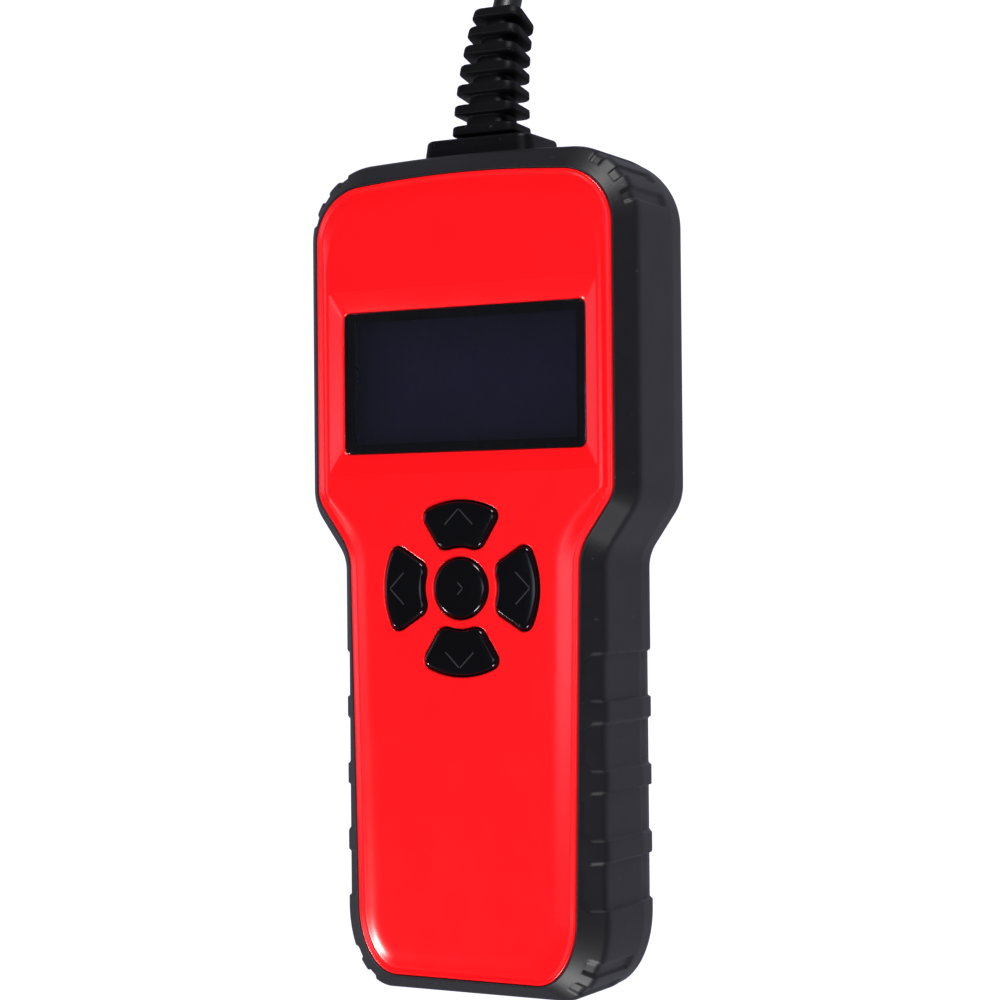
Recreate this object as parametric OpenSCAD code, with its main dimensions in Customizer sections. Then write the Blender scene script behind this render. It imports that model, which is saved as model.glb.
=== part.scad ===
// Handheld engine code reader with a captive cable and a sixteen-pin vehicle plug.
// The reader lies on its back: +Z is the way the screen faces, +Y is the cable end, and the
// origin is the middle of the back face. All sizes are in millimetres.

/* [Case] */
// Length of the body over the boot
body_len = 175.5; // [174:0.5:178]
// Width over the head of the body
head_w = 77.6; // [76:0.2:80]
// Width over the handle
handle_w = 61.8; // [61:0.2:63]
// Height of the front plate's flat field above the back face
field_z = 30; // [29.5:0.25:31]
// Height of the parting line between the boot and the rear shell
parting_z = 7.2; // [6.5:0.1:8]
// Height at which the boot's side turns into its sloping front
shoulder_z = 25; // [24:0.25:25.5]
// Wall thickness of the rubber boot
boot_t = 2.3; // [2.2:0.05:2.5]
// Wall thickness of the plastic shells
wall_t = 2; // [1.8:0.1:2.2]
// How far the boot stands outside the front plate at the sides of the head
boot_margin = 4; // [3.8:0.1:4.2]
// Depth of the grip pockets and of the corner recesses
recess_d = 0.6; // [0.4:0.1:0.8]

/* [Display] */
// Width of the display lens opening
window_w = 57.2; // [55:0.2:58]
// Height of the display lens opening
window_h = 30.2; // [29:0.2:31]
// Distance of the display's middle from the middle of the body
window_y = 40.2; // [39:0.2:41]
// Depth of the dish round the display
dish_d = 1.1; // [0.8:0.1:1.3]
// Thickness of the display lens
lens_t = 1.4; // [1.2:0.1:1.5]

/* [Keys] */
// Distance of the keypad's middle from the middle of the body, towards the handle
keypad_y = -3.3; // [-4:0.1:-2]
// Outer radius of the ring of four keys
ring_r = 18.35; // [18:0.05:18.6]
// Inner radius of the ring of four keys
ring_in_r = 8.45; // [8.3:0.05:8.6]
// Radius of the round key's opening
enter_r = 6.5; // [6.3:0.1:6.6]
// Half of the angle that each ring key spans
key_half_angle = 32; // [30:1:33]
// How far a key travels
key_travel = 1.2; // [0.8:0.1:1.2]
// Gap between a key and its opening
key_gap = 0.35; // [0.3:0.05:0.4]
// How far the keys stand above the front plate
key_proud = 0.8; // [0.5:0.1:1]

/* [Cable] */
// Diameter of the cable
cable_d = 6; // [5.8:0.1:6]
// Height of the cable's axis where it leaves the body
cable_z = 16; // [15.5:0.25:16.5]
// Radius of the coil's outer turn, to the middle of the cable
coil_r = 36; // [36:0.5:37]
// Thickness of the strap that ties the coil
tie_t = 0.5; // [0.4:0.1:0.6]

/* [Plug] */
// Width of the plug's grip
grip_w = 43; // [42:0.5:44]
// Height of the plug's grip
grip_h = 21; // [20.5:0.5:21]
// Length of the plug's grip
grip_len = 36; // [34:1:38]
// Length of the shroud in front of the grip
shroud_len = 19; // [18:0.5:20]
// Distance between neighbouring contacts
pin_pitch = 4; // [3.9:0.05:4]

/* [Hidden] */
$fn = 48;
eps = 0.01;

red = [0.9, 0.05, 0.06];
black_rubber = [0.10, 0.10, 0.11];
black_plastic = [0.07, 0.07, 0.08];
gloss_black = [0.03, 0.03, 0.035];
dark_glass = [0.10, 0.10, 0.16];
board_green = [0.05, 0.30, 0.16];
silver = [0.75, 0.75, 0.77];
gold = [0.80, 0.62, 0.25];
cream = [0.88, 0.86, 0.78];
silicone_grey = [0.45, 0.46, 0.48];

// Heights of the stack inside the case
floor_t = 2.2;
join_z = 12;
ledge_z = 26;
plate_t = 2;
board_z = 17.4;
board_t = 1.6;
board_top = board_z + board_t;
mat_z = board_top + 0.05;
mat_t = 1.05;
dome_top = mat_z + 3.25;
flange_z = 26.6;
flange_t = 1;
seat_z = 26.4;
dish_z = field_z - dish_d;
fit_gap = 0.05;

// ---- outline of the case -------------------------------------------------------------------
// An outline is a vector of sizes. Both outlines take their points from the same stations, so
// they can be lofted into each other.
O_HEAD = 0;      // half width of the head
O_HAND = 1;      // half width of the top of the handle
O_FOOT = 2;      // half width of the foot of the handle
O_TOP = 3;       // top edge
O_BOTTOM = 4;    // bottom edge
O_CORNER = 5;    // radius of the top corners
O_FOOT_RX = 6;   // bottom corners, radius across
O_FOOT_RY = 7;   // bottom corners, radius along
O_HIP = 8;       // radius of the waist's convex bend
O_NECK = 9;      // radius of the waist's hollow bend
O_CROWN = 10;    // crown of the top edge

waist_angle = 35;
waist_y = 18;
boot_line = [head_w / 2, handle_w / 2, handle_w / 2, body_len / 2, -body_len / 2,
             15.7, 10.5, 17, 11, 8.5, 0.6];
plate_line = [head_w / 2 - boot_margin, handle_w / 2 - boot_margin, handle_w / 2 - boot_margin - 1.4,
              body_len / 2 - 4.7, -body_len / 2 + 3.6, 11.7, 9, 14, 7, 12.5, 1.1];

// Grip pockets along the handle, and recesses round the corners
pocket_y0 = -16.5;
pocket_pitch = 14.15;
pocket_len = 10;
pocket_step = 0.5;
top_recesses = [18, 39, 61];
foot_recesses = [39, 61];
recess_half = 4;
recess_edge = 1.2;

// Angles of a corner, with two points at each side of every recess. Each entry is [angle, recessed].
function corner_angles(recesses, last) = concat(
    [[0, 0], [6, 0]],
    [for (a = recesses, e = [[-recess_half - recess_edge, 0], [-recess_half, 1], [recess_half, 1],
                             [recess_half + recess_edge, 0]]) [a + e[0], e[1]]],
    [[(recesses[len(recesses) - 1] + recess_half + last) / 2 + 1, 0], [last - 7, 0], [last, 0]]);

function reversed(v) = [for (i = [len(v) - 1:-1:0]) v[i]];

// Stations of one side, from the middle of the bottom edge up to the middle of the top edge:
// [part of the outline, position on it, pocket, recess].
BOTTOM = 0;
FOOT = 1;
HANDLE = 2;
NECK = 3;
HIP = 4;
HEAD = 5;
CORNER = 6;
TOP = 7;
stations = concat(
    [[BOTTOM, 0, 0, 0], [BOTTOM, 0.5, 0, 0]],
    [for (a = reversed(corner_angles(foot_recesses, 90))) [FOOT, a[0], 0, a[1]]],
    [for (k = [3:-1:0], e = [[-pocket_len, 0], [-pocket_len + pocket_step, 1], [-pocket_step, 1], [0, 0]])
        [HANDLE, pocket_y0 - k * pocket_pitch + e[0], e[1], 0]],
    [[HANDLE, -8, 0, 0]],
    [for (a = [0:7:waist_angle]) [NECK, a, 0, 0]],
    [for (a = [waist_angle:-7:0]) [HIP, a, 0, 0]],
    [[HEAD, 0.35, 0, 0], [HEAD, 0.7, 0, 0]],
    [for (a = corner_angles(top_recesses, 87)) [CORNER, a[0], 0, a[1]]],
    [[TOP, 0.6, 0, 0], [TOP, 0.3, 0, 0], [TOP, 0, 0, 0]]);

function hip_drop(o) = let (bends = o[O_HIP] + o[O_NECK])
    bends * sin(waist_angle)
    + (o[O_HEAD] - o[O_HAND] - bends * (1 - cos(waist_angle))) / tan(waist_angle);

function foot_x(o) = o[O_FOOT] - o[O_FOOT_RX];

function station_point(o, s) =
    s[0] == BOTTOM ? [s[1] * foot_x(o), o[O_BOTTOM]]
    : s[0] == FOOT ? [foot_x(o) + o[O_FOOT_RX] * cos(s[1]),
                      o[O_BOTTOM] + o[O_FOOT_RY] * (1 - sin(s[1]))]
    : s[0] == HANDLE ? let (foot_y = o[O_BOTTOM] + o[O_FOOT_RY], t = (s[1] - foot_y) / -foot_y)
                       [o[O_FOOT] + (o[O_HAND] - o[O_FOOT]) * max(0, min(1, t)), s[1]]
    : s[0] == NECK ? [o[O_HAND] + o[O_NECK] * (1 - cos(s[1])),
                      waist_y - hip_drop(o) + o[O_NECK] * sin(s[1])]
    : s[0] == HIP ? [o[O_HEAD] - o[O_HIP] * (1 - cos(s[1])), waist_y - o[O_HIP] * sin(s[1])]
    : s[0] == HEAD ? [o[O_HEAD], waist_y + s[1] * (o[O_TOP] - o[O_CORNER] - waist_y)]
    : s[0] == CORNER ? [o[O_HEAD] - o[O_CORNER] * (1 - cos(s[1])),
                        o[O_TOP] - o[O_CROWN] - o[O_CORNER] * (1 - sin(s[1]))]
    : let (x = s[1] * (o[O_HEAD] - o[O_CORNER]))
      [x, o[O_TOP] - o[O_CROWN] * pow(s[1], 2)];

// Outward direction at a station
function station_normal(o, s) =
    s[0] == BOTTOM ? [0, -1]
    : s[0] == FOOT ? unit([cos(s[1]) / o[O_FOOT_RX], -sin(s[1]) / o[O_FOOT_RY]])
    : s[0] == HANDLE || s[0] == HEAD ? [1, 0]
    : s[0] == NECK || s[0] == HIP ? [cos(s[1]), -sin(s[1])]
    : s[0] == CORNER ? [cos(s[1]), sin(s[1])]
    : unit([2 * o[O_CROWN] * s[1] / (o[O_HEAD] - o[O_CORNER]), 1]);

// Closed outline, counterclockwise from above: a point and its outward direction at each station
function outline(o) = let (side = [for (s = stations) concat(station_point(o, s), station_normal(o, s))])
    concat(side, [for (i = [len(side) - 2:-1:1]) [-side[i][0], side[i][1], -side[i][2], side[i][3]]]);

function both_sides(column) = concat([for (s = stations) s[column]],
                                     [for (i = [len(stations) - 2:-1:1]) stations[i][column]]);
pockets = both_sides(2);
recesses = both_sides(3);

function unit(v) = v / norm(v);

// The outline moved inwards by d, and further in at the pockets and the recesses
function inset(line, d, pocket = 0, recess = 0) =
    [for (i = [0:len(line) - 1]) let (m = d + pockets[i] * pocket + recesses[i] * recess)
        [line[i][0] - line[i][2] * m, line[i][1] - line[i][3] * m]];

boot_outline = outline(boot_line);
plate_outline = outline(plate_line);

function at_height(line, z) = [for (p = line) [p[0], p[1], z]];
function blend(a, b, t) = [for (i = [0:len(a) - 1]) a[i] * (1 - t) + b[i] * t];
function flat(lists) = [for (l = lists, p = l) p];

// ---- general shapes ------------------------------------------------------------------------
// Solid prism of an outline
module slab(line, z0, z1) {
    translate([0, 0, z0]) linear_extrude(z1 - z0) polygon(line);
}

// Frame-shaped solid: closed rings of points joined in a loop
module ring_loft(rings) {
    m = len(rings);
    n = len(rings[0]);
    polyhedron(points = flat(rings), faces = flat([for (i = [0:m - 1], j = [0:n - 1])
        let (a = i * n + j, b = i * n + (j + 1) % n, k = (i + 1) % m, c = k * n + j, d = k * n + (j + 1) % n)
        [[a, c, d], [a, d, b]]]));
}

// Solid lofted through rings of points, closed at both ends
module solid_loft(rings) {
    m = len(rings);
    n = len(rings[0]);
    polyhedron(points = flat(rings), faces = concat(
        [[for (j = [0:n - 1]) j]],
        [[for (j = [n - 1:-1:0]) (m - 1) * n + j]],
        flat([for (i = [0:m - 2], j = [0:n - 1])
            let (a = i * n + j, b = i * n + (j + 1) % n, c = a + n, d = b + n) [[a, c, d], [a, d, b]]])));
}

// Ring of points across a path: middle, direction, half width, half height, corner radius and sides
function section(mid, dir, hw, hh, r, sides) =
    let (across = unit(cross(dir, [0, 0, 1])), up = cross(across, dir))
    [for (j = [0:sides - 1]) let (a = -360 * (j + 0.5) / sides, x = cos(a), y = sin(a))
        mid + across * (r * x + sign(x) * (hw - r)) + up * (r * y + sign(y) * (hh - r))];

// Round tube along a list of points
module tube(path, d, sides = 10) {
    n = len(path);
    solid_loft([for (i = [0:n - 1])
        let (dir = unit(path[min(i + 1, n - 1)] - path[max(i - 1, 0)]))
        section(path[i], dir, d / 2, d / 2, d / 2, sides)]);
}

module rounded_plate(w, h, r, z0, z1) {
    translate([0, 0, z0]) linear_extrude(z1 - z0)
        offset(r) square([w - 2 * r, h - 2 * r], center = true);
}

// Screw with a pan head below and a point above, standing on z = 0
module screw(d, len, head_d, head_t) {
    difference() {
        union() {
            cylinder(d = head_d, h = head_t);
            cylinder(d = d, h = len);
        }
        for (a = [0, 90]) rotate(a) translate([-head_d * 0.3, -0.25, -eps]) cube([head_d * 0.6, 0.5, 0.7]);
    }
}

// Fasteners and their places
case_screw_places = [[27.6, 75.8], [-27.6, 75.8], [21.5, 3], [-21.5, 3], [18.5, -75.5], [-18.5, -75.5]];
case_screw_d = 2.9;
case_head_d = 5.4;
case_boss_r = 3.2;
case_head_z = 1.2;
board_screw_places = [[29, 65.5], [-29, 65.5], [28.5, 18.8], [-28.5, 18.8], [15.5, -57], [-15.5, -57]];
board_screw_d = 2.1;
board_boss_r = 2.4;
gland_neck = [16, 10.4];
gland_face_y = body_len / 2 + 0.05;
gland_len = 3.8;

// Slot in the end wall that the gland's neck passes through
module neck_slot(gap) {
    translate([-gland_neck[0] / 2 - gap, body_len / 2 - 8, cable_z - gland_neck[1] / 2 - gap])
        cube([gland_neck[0] + 2 * gap, 12, gland_neck[1] + 2 * gap]);
}

// ---- shells --------------------------------------------------------------------------------
boot_seat = boot_t + fit_gap;
cavity_in = boot_seat + wall_t;
tongue_gap = 0.1;
tongue_t = 1.2;
label_w = 34;
label_len = 58;
label_y = -18;

tongue_in = cavity_in + tongue_gap;
tongue_end = tongue_in + tongue_t;

module rear_body() {
    // rounded back edge, in three steps, then the strip that shows behind the boot
    slab(inset(boot_outline, 2.6, 0.5, 0.3), 0, 0.8 + eps);
    slab(inset(boot_outline, 1.4, 0.8, 0.5), 0.8, 1.8 + eps);
    slab(inset(boot_outline, 0.7, 1, 0.6), 1.8, 3 + eps);
    slab(inset(boot_outline, 0.3, 1, 0.6), 3, parting_z - 0.1);
    // wall that stands inside the boot, and the tongue that enters the front cover
    slab(inset(boot_outline, boot_seat), parting_z - 0.2, join_z);
    slab(inset(boot_outline, tongue_in), join_z - 1, join_z + 1.8);
}

module rear_cavity() {
    slab(inset(boot_outline, 3), floor_t, 5);
    slab(inset(boot_outline, tongue_end), 5 - eps, join_z + 3);
}

module rear_shell() color(black_plastic) {
    difference() {
        rear_body();
        rear_cavity();
        for (p = case_screw_places) translate([p[0], p[1], -eps]) {
            cylinder(d = case_screw_d + 0.3, h = join_z + 1);
            cylinder(d = case_head_d + 0.5, h = case_head_z + 2.3);
        }
        translate([-label_w / 2, label_y - label_len / 2, -eps]) cube([label_w, label_len, 0.4]);
        neck_slot(0.1);
        // room for the gland's inner flange
        translate([-10.4, 80, 8.7]) cube([20.8, body_len / 2 - cavity_in - 80, 10]);
    }
    for (p = case_screw_places) translate([p[0], p[1], 0]) difference() {
        translate([0, 0, floor_t - 0.1]) cylinder(r = case_boss_r + 0.6, h = join_z - floor_t);
        translate([0, 0, -1]) cylinder(d = case_screw_d + 0.3, h = join_z + 2);
        translate([0, 0, -1]) cylinder(d = case_head_d + 0.5, h = case_head_z + 3.3);
    }
    // pedestal under the cable clamp
    difference() {
        translate([-11, 72.8, floor_t - 0.1]) cube([22, 6, cable_z - cable_d / 2 - 0.2 - floor_t + 0.1]);
        for (x = [-8, 8]) translate([x, clamp_y, 7]) cylinder(d = 2.1, h = 10);
    }
    // stiffening ribs
    for (y = [-50, -36, 30, 44]) translate([-20, y, floor_t - 0.1]) cube([40, 1.2, 2.1]);
}

module front_shell() {
    difference() {
        union() {
            slab(inset(boot_outline, boot_seat), join_z + 0.02, ledge_z);
            slab(inset(plate_outline, 0), ledge_z - eps, field_z - 0.8);
            slab(inset(plate_outline, 0.45), field_z - 0.81, field_z - 0.5);
            slab(inset(plate_outline, 3), field_z - 0.51, field_z - 0.25);
            slab(inset(plate_outline, 4.4), field_z - 0.26, field_z);
        }
        slab(inset(boot_outline, cavity_in), join_z - 1, ledge_z - wall_t);
        slab(inset(plate_outline, wall_t + 0.4), ledge_z - wall_t - eps, field_z - plate_t);
    }
    // thicker seat behind the display
    rounded_plate_at_window(window_w + 6, window_h + 6, 2, seat_z, field_z - plate_t + eps);
    for (p = case_screw_places) translate([p[0], p[1], join_z + 0.02])
        cylinder(r = case_boss_r, h = field_z - plate_t - join_z);
    for (p = board_screw_places) translate([p[0], p[1], board_top + 0.02])
        cylinder(r = board_boss_r, h = field_z - plate_t - board_top);
}

module rounded_plate_at_window(w, h, r, z0, z1) {
    translate([0, window_y, 0]) rounded_plate(w, h, r, z0, z1);
}

function dish_ring(w, h, z) = [for (s = [[1, -1], [1, 1], [-1, 1], [-1, -1]]) [s[0] * w / 2, s[1] * h / 2, z]];

module front_cover() color(red) difference() {
    front_shell();
    // dish with sloping sides round the display
    translate([0, window_y, 0]) solid_loft([
        dish_ring(window_w, window_h, dish_z), dish_ring(window_w + 6.2, window_h + 6.2, field_z + 0.01),
        dish_ring(window_w + 6.2, window_h + 6.2, field_z + 1)]);
    rounded_plate_at_window(window_w, window_h, 1.6, dish_z - lens_t - 0.1, field_z);
    rounded_plate_at_window(window_w - 3.2, window_h - 3.2, 1, seat_z - 1, field_z);
    for (k = KEYS) translate([0, keypad_y, field_z - plate_t - 1])
        linear_extrude(plate_t + 2) key_opening(k);
    for (p = case_screw_places) translate([p[0], p[1], join_z - 1]) cylinder(d = case_screw_d + 0.1, h = 12);
    for (p = board_screw_places) translate([p[0], p[1], board_top - 1]) cylinder(d = board_screw_d + 0.1, h = 7);
    neck_slot(0.1);
}

// Rubber frame round both shells, with a sloping front face
module bumper_boot() color(black_rubber) difference() {
    ring_loft([
        at_height(inset(boot_outline, 0.5, recess_d, recess_d), parting_z),
        at_height(inset(boot_outline, 0, recess_d, recess_d), parting_z + 0.5),
        at_height(inset(boot_outline, 0, recess_d, recess_d), shoulder_z - 1),
        at_height(inset(blend(boot_outline, plate_outline, 0.04), 0, recess_d, recess_d), shoulder_z),
        at_height(inset(blend(boot_outline, plate_outline, 0.22), 0, recess_d, recess_d), shoulder_z + 1.5),
        at_height(inset(blend(boot_outline, plate_outline, 0.66), 0, recess_d, recess_d), field_z - 1.5),
        at_height(inset(blend(boot_outline, plate_outline, 0.74), 0, 0, recess_d / 2), field_z - 1.2),
        at_height(inset(plate_outline, -0.35), field_z - 0.6),
        at_height(inset(plate_outline, -0.06), field_z - 0.8),
        at_height(inset(plate_outline, -0.06), ledge_z + 0.05),
        at_height(inset(boot_outline, boot_t), ledge_z + 0.05),
        at_height(inset(boot_outline, boot_t), parting_z)
    ]);
    neck_slot(0.1);
}

// ---- display -------------------------------------------------------------------------------
module display_lens() color(dark_glass)
    rounded_plate_at_window(window_w - 0.2, window_h - 0.2, 1.5, dish_z - lens_t - 0.05, dish_z - 0.05);

module lens_gasket() color(gloss_black) difference() {
    rounded_plate_at_window(window_w + 3, window_h + 3, 1, 24.75, seat_z - 0.03);
    rounded_plate_at_window(window_w - 2, window_h - 2, 1, 24, seat_z + 1);
}

frame_w = 63;
frame_h = 37;
frame_z = board_top + 0.05;
frame_top = 24.7;
frame_t = 0.4;

module lcd_frame() color(silver) difference() {
    rounded_plate_at_window(frame_w, frame_h, 0.8, frame_z, frame_top);
    rounded_plate_at_window(frame_w - 2 * frame_t, frame_h - 2 * frame_t, 0.5, frame_z - 1, frame_top - frame_t);
    rounded_plate_at_window(window_w - 2, window_h - 2, 0.5, frame_z, frame_top + 1);
}

module lcd_glass() color(dark_glass)
    rounded_plate_at_window(60, 35, 0.4, 22.2, frame_top - frame_t - 0.05);

module lcd_backlight() color(cream)
    rounded_plate_at_window(61, 36, 0.6, board_top + 0.4, 22.15);

// Flat cable that leaves the glass at its lower edge and folds down to the board
module lcd_flex() color([0.75, 0.45, 0.1])
    translate([0, window_y - frame_h / 2, 0]) {
        translate([-9, -2.6, board_top + 0.02]) cube([18, 2.4, 0.2]);
        translate([-9, -0.4, board_top + 0.02]) cube([18, 0.2, 2.5]);
        translate([-10, -5.2, board_top + 0.02]) cube([20, 2.6, 1]);
    }

// ---- keys ----------------------------------------------------------------------------------
KEYS = ["up", "down", "left", "right", "enter"];
function key_angle(k) = k == "up" ? 90 : k == "down" ? 270 : k == "left" ? 180 : 0;
key_mid_r = (ring_r + ring_in_r) / 2;
function key_place(k) = k == "enter" ? [0, keypad_y] : [0, keypad_y] + key_mid_r * [cos(key_angle(k)), sin(key_angle(k))];
key_corner_r = 2.2;
key_top = field_z + key_proud;

// Opening of one key in the front plate, about the keypad's middle
module key_opening(k) {
    if (k == "enter") {
        circle(enter_r);
    } else {
        h = key_half_angle;
        rotate(key_angle(k)) offset(key_corner_r) offset(delta = -key_corner_r) polygon(concat(
            [for (a = [-h:4:h]) ring_r * [cos(a), sin(a)]],
            [for (a = [h:-4:-h]) ring_in_r * [cos(a), sin(a)]]));
    }
}

module key_slice(k, grow, z0, z1) {
    translate([0, keypad_y, z0]) linear_extrude(z1 - z0) offset(delta = grow) key_opening(k);
}

// Thin engraved arrow on a ring key, or the short mark on the round key
module key_mark(k) {
    reach = k == "enter" ? 1.6 : 3.6;
    tip = k == "enter" ? 0.6 : key_mid_r + 2;
    translate([0, keypad_y, key_top - 0.25]) rotate(key_angle(k)) translate([tip, 0, 0])
        for (s = [-1, 1]) rotate(s * 135) translate([0, -0.2, 0]) cube([reach, 0.4, 1]);
}

module key_cap(k) color(gloss_black) {
    difference() {
        union() {
            key_slice(k, -key_gap, flange_z + flange_t - eps, key_top - 0.35);
            key_slice(k, -key_gap - 0.45, key_top - 0.36, key_top);
            key_slice(k, 0.55, flange_z, flange_z + flange_t);
            translate([key_place(k)[0], key_place(k)[1], dome_top + 0.02])
                cylinder(r = 2.8, h = flange_z - dome_top);
        }
        key_mark(k);
    }
}

puck_z = mat_z + 1.3;
puck_t = 1.1;

// Conductive puck under the key
module puck(k) color([0.2, 0.2, 0.21])
    translate([key_place(k)[0], key_place(k)[1], puck_z]) cylinder(r = 1.8, h = puck_t);

// Rubber dome that lifts the key back up
module dome(k) color(silicone_grey)
    translate([key_place(k)[0], key_place(k)[1], 0]) rotate_extrude() polygon([
        [3.6, mat_z + mat_t], [4.8, mat_z + mat_t], [3.2, dome_top], [0, dome_top],
        [0, puck_z + puck_t + 0.02], [2.4, puck_z + puck_t + 0.02]]);

module keypad_mat() color(silicone_grey) difference() {
    translate([0, keypad_y, mat_z]) linear_extrude(mat_t) offset(3) square([33, 32.4], center = true);
    for (p = case_screw_places) translate([p[0], p[1], mat_z - 1]) cylinder(r = case_boss_r + 0.3, h = mat_t + 2);
    for (k = KEYS) translate([key_place(k)[0], key_place(k)[1], mat_z - 1]) cylinder(r = 3.4, h = mat_t + 2);
}

// ---- electronics ---------------------------------------------------------------------------
module main_board() color(board_green) difference() {
    translate([0, 0, board_z]) linear_extrude(board_t) difference() {
        union() {
            translate([-32.5, 16]) square([65, 54]);
            translate([-22, -62]) square([44, 79]);
        }
        for (p = case_screw_places) translate(p) circle(case_boss_r + 0.4);
    }
    for (p = board_screw_places) translate([p[0], p[1], board_z - 1]) cylinder(d = board_screw_d + 0.3, h = 4);
}

module contact_pads() color(gold)
    for (k = KEYS) translate([key_place(k)[0], key_place(k)[1], board_top + 0.005])
        cylinder(r = 2.4, h = 0.04);

// Part soldered to the back of the board: body and two rows of legs
module back_chip(x, y, w, h, t, legs, pitch) {
    translate([x, y, board_z - t - 0.1]) {
        translate([-w / 2, -h / 2, 0]) cube([w, h, t]);
        for (s = [-1, 1], i = [0:legs - 1])
            translate([s * (w / 2 + 0.5) - 0.5, (i - (legs - 1) / 2) * pitch - 0.15, t - 0.3])
                cube([1, 0.3, 0.38]);
    }
}

module processor_chip() color(gloss_black) back_chip(0, 28, 12, 12, 1.4, 12, 0.8);
module transceiver_chips() color(gloss_black) for (x = [-20, 20]) back_chip(x, 50, 4, 5, 1.4, 4, 1.27);

module crystal() color(silver)
    translate([14, 30, board_z - 3.6]) linear_extrude(3.55)
        hull() for (y = [-3.2, 3.2]) translate([0, y]) circle(2.2);

module buzzer() color(black_plastic) translate([0, -40, board_z - 5.6]) difference() {
    cylinder(d = 12, h = 5.55);
    translate([0, 0, -1]) cylinder(d = 2, h = 3);
}

module capacitors() color([0.15, 0.2, 0.45])
    for (p = [[-12, -14], [12, -14], [-22, 34]]) translate([p[0], p[1], board_z - 7.1]) cylinder(d = 6.3, h = 7.05);

header_y = 60;
wire_count = 6;
wire_pitch = 2;
wire_d = 1.1;

module cable_header() color(cream) difference() {
    translate([-8, header_y - 3, board_z - 7]) cube([16, 6, 6.95]);
    translate([-7, header_y - 2.2, board_z - 8]) cube([14, 4.4, 6]);
}

module crimp_housing() color([0.92, 0.92, 0.88])
    translate([-6.8, header_y - 2, board_z - 9.5]) cube([13.6, 4, 7]);

wire_start = [[-1.5, 0.6], [-1.2, -0.9], [-0.1, 1.4], [0.2, -1.5], [1.3, 0.8], [1.5, -0.6]];
wire_colors = [[0.8, 0.1, 0.1], [0.1, 0.1, 0.1], [0.1, 0.5, 0.15], [0.85, 0.75, 0.1], [0.15, 0.25, 0.7],
               [0.85, 0.85, 0.85]];

// Wires from the cable's inner end down to the crimp housing
module inner_wires() for (i = [0:wire_count - 1]) color(wire_colors[i])
    let (x = (i - (wire_count - 1) / 2) * wire_pitch, sx = wire_start[i][0], sz = wire_start[i][1])
        tube([[sx, 71.1, cable_z + sz], [sx * 1.15, 69.6, cable_z - 1.3 + sz * 0.8], [x * 0.6, 67.4, 12.6 + sz * 0.7],
              [x * 0.85, 65.6, 9.4], [x, 63.6, 7.6], [x, 61.6, 6.7], [x, header_y + 0.3, 6.8],
              [x, header_y, 7.85]], wire_d, 8);

module inner_cable() color(black_rubber)
    translate([0, 71.5, cable_z]) rotate([-90, 0, 0]) cylinder(d = cable_d, h = body_len / 2 - 7.2 - 71.5);

clamp_y = 75.8;
module cable_clamp() color(black_plastic) difference() {
    translate([-11, clamp_y - 2.5, cable_z - 3.1]) cube([22, 5, 8]);
    translate([0, clamp_y - 4, cable_z]) rotate([-90, 0, 0]) cylinder(d = cable_d + 0.1, h = 8);
    translate([-cable_d / 2 - 0.05, clamp_y - 4, cable_z - 4]) cube([cable_d + 0.1, 8, 4]);
    for (x = [-8, 8]) translate([x, clamp_y, cable_z - 5]) cylinder(d = 2.3, h = 12);
}

module clamp_screws() color(silver)
    for (x = [-8, 8]) translate([x, clamp_y, cable_z + 6.34]) mirror([0, 0, 1]) screw(2, 14, 3.8, 1.4);

module board_screws() color(silver)
    for (p = board_screw_places) translate([p[0], p[1], board_z - 1.42]) screw(board_screw_d, 7, 4, 1.4);

module case_screws() color([0.25, 0.25, 0.27])
    for (p = case_screw_places) translate([p[0], p[1], case_head_z]) screw(case_screw_d, 18, case_head_d, 2.2);

module rear_label() color([0.70, 0.71, 0.72])
    translate([0, label_y, 0.05]) linear_extrude(0.3) offset(1) square([label_w - 2.6, label_len - 2.6], center = true);

// ---- gland and strain relief ---------------------------------------------------------------
gland_w = 25.4;
gland_h = 16;
gland_drop = 1.5;

// Prism along Y with rounded corners, its axis at the cable's height
module end_block(w, h, r, y0, y1, drop = 0) {
    translate([0, y1, cable_z - drop]) rotate([90, 0, 0]) linear_extrude(y1 - y0)
        offset(r) square([w - 2 * r, h - 2 * r], center = true);
}

module gland_block() color(black_plastic) {
    end_block(gland_w, gland_h, 2.7, gland_face_y, gland_face_y + gland_len - 0.6, gland_drop);
    end_block(gland_w - 1, gland_h - 1, 2.3, gland_face_y + gland_len - 0.61, gland_face_y + gland_len, gland_drop);
    end_block(gland_neck[0], gland_neck[1], 1.5, body_len / 2 - 4.5, gland_face_y + eps);
    end_block(20, 14, 3, body_len / 2 - 7, body_len / 2 - 4.49);
}

// The strain relief droops in one even bend from the end of the gland
relief_y = gland_face_y + gland_len;
relief_z = 14.6;
relief_len = 29.4;
droop_r = 64;
rib_count = 7;
rib_first = 1.9;
rib_pitch = 4.217;
rib_half = [1.35, 0.95];

function droop_angle(s) = s / droop_r * 180 / PI;
function droop_point(s) = [0, relief_y + droop_r * sin(droop_angle(s)), relief_z - droop_r * (1 - cos(droop_angle(s)))];
function droop_dir(s) = [0, cos(droop_angle(s)), -sin(droop_angle(s))];
function along(a, b, s) = a + (b - a) * s / relief_len;

// Cross-section of the relief at a distance s: the core, or the rim of a rib
function core_ring(s) = section(droop_point(s), droop_dir(s), along(5.1, 3.2, s), along(4.1, 3.1, s), 2.6, 24);
function rib_ring(s) = section(droop_point(s), droop_dir(s), along(7.7, 5.7, s), along(5, 4.8, s), 2.4, 24);

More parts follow.
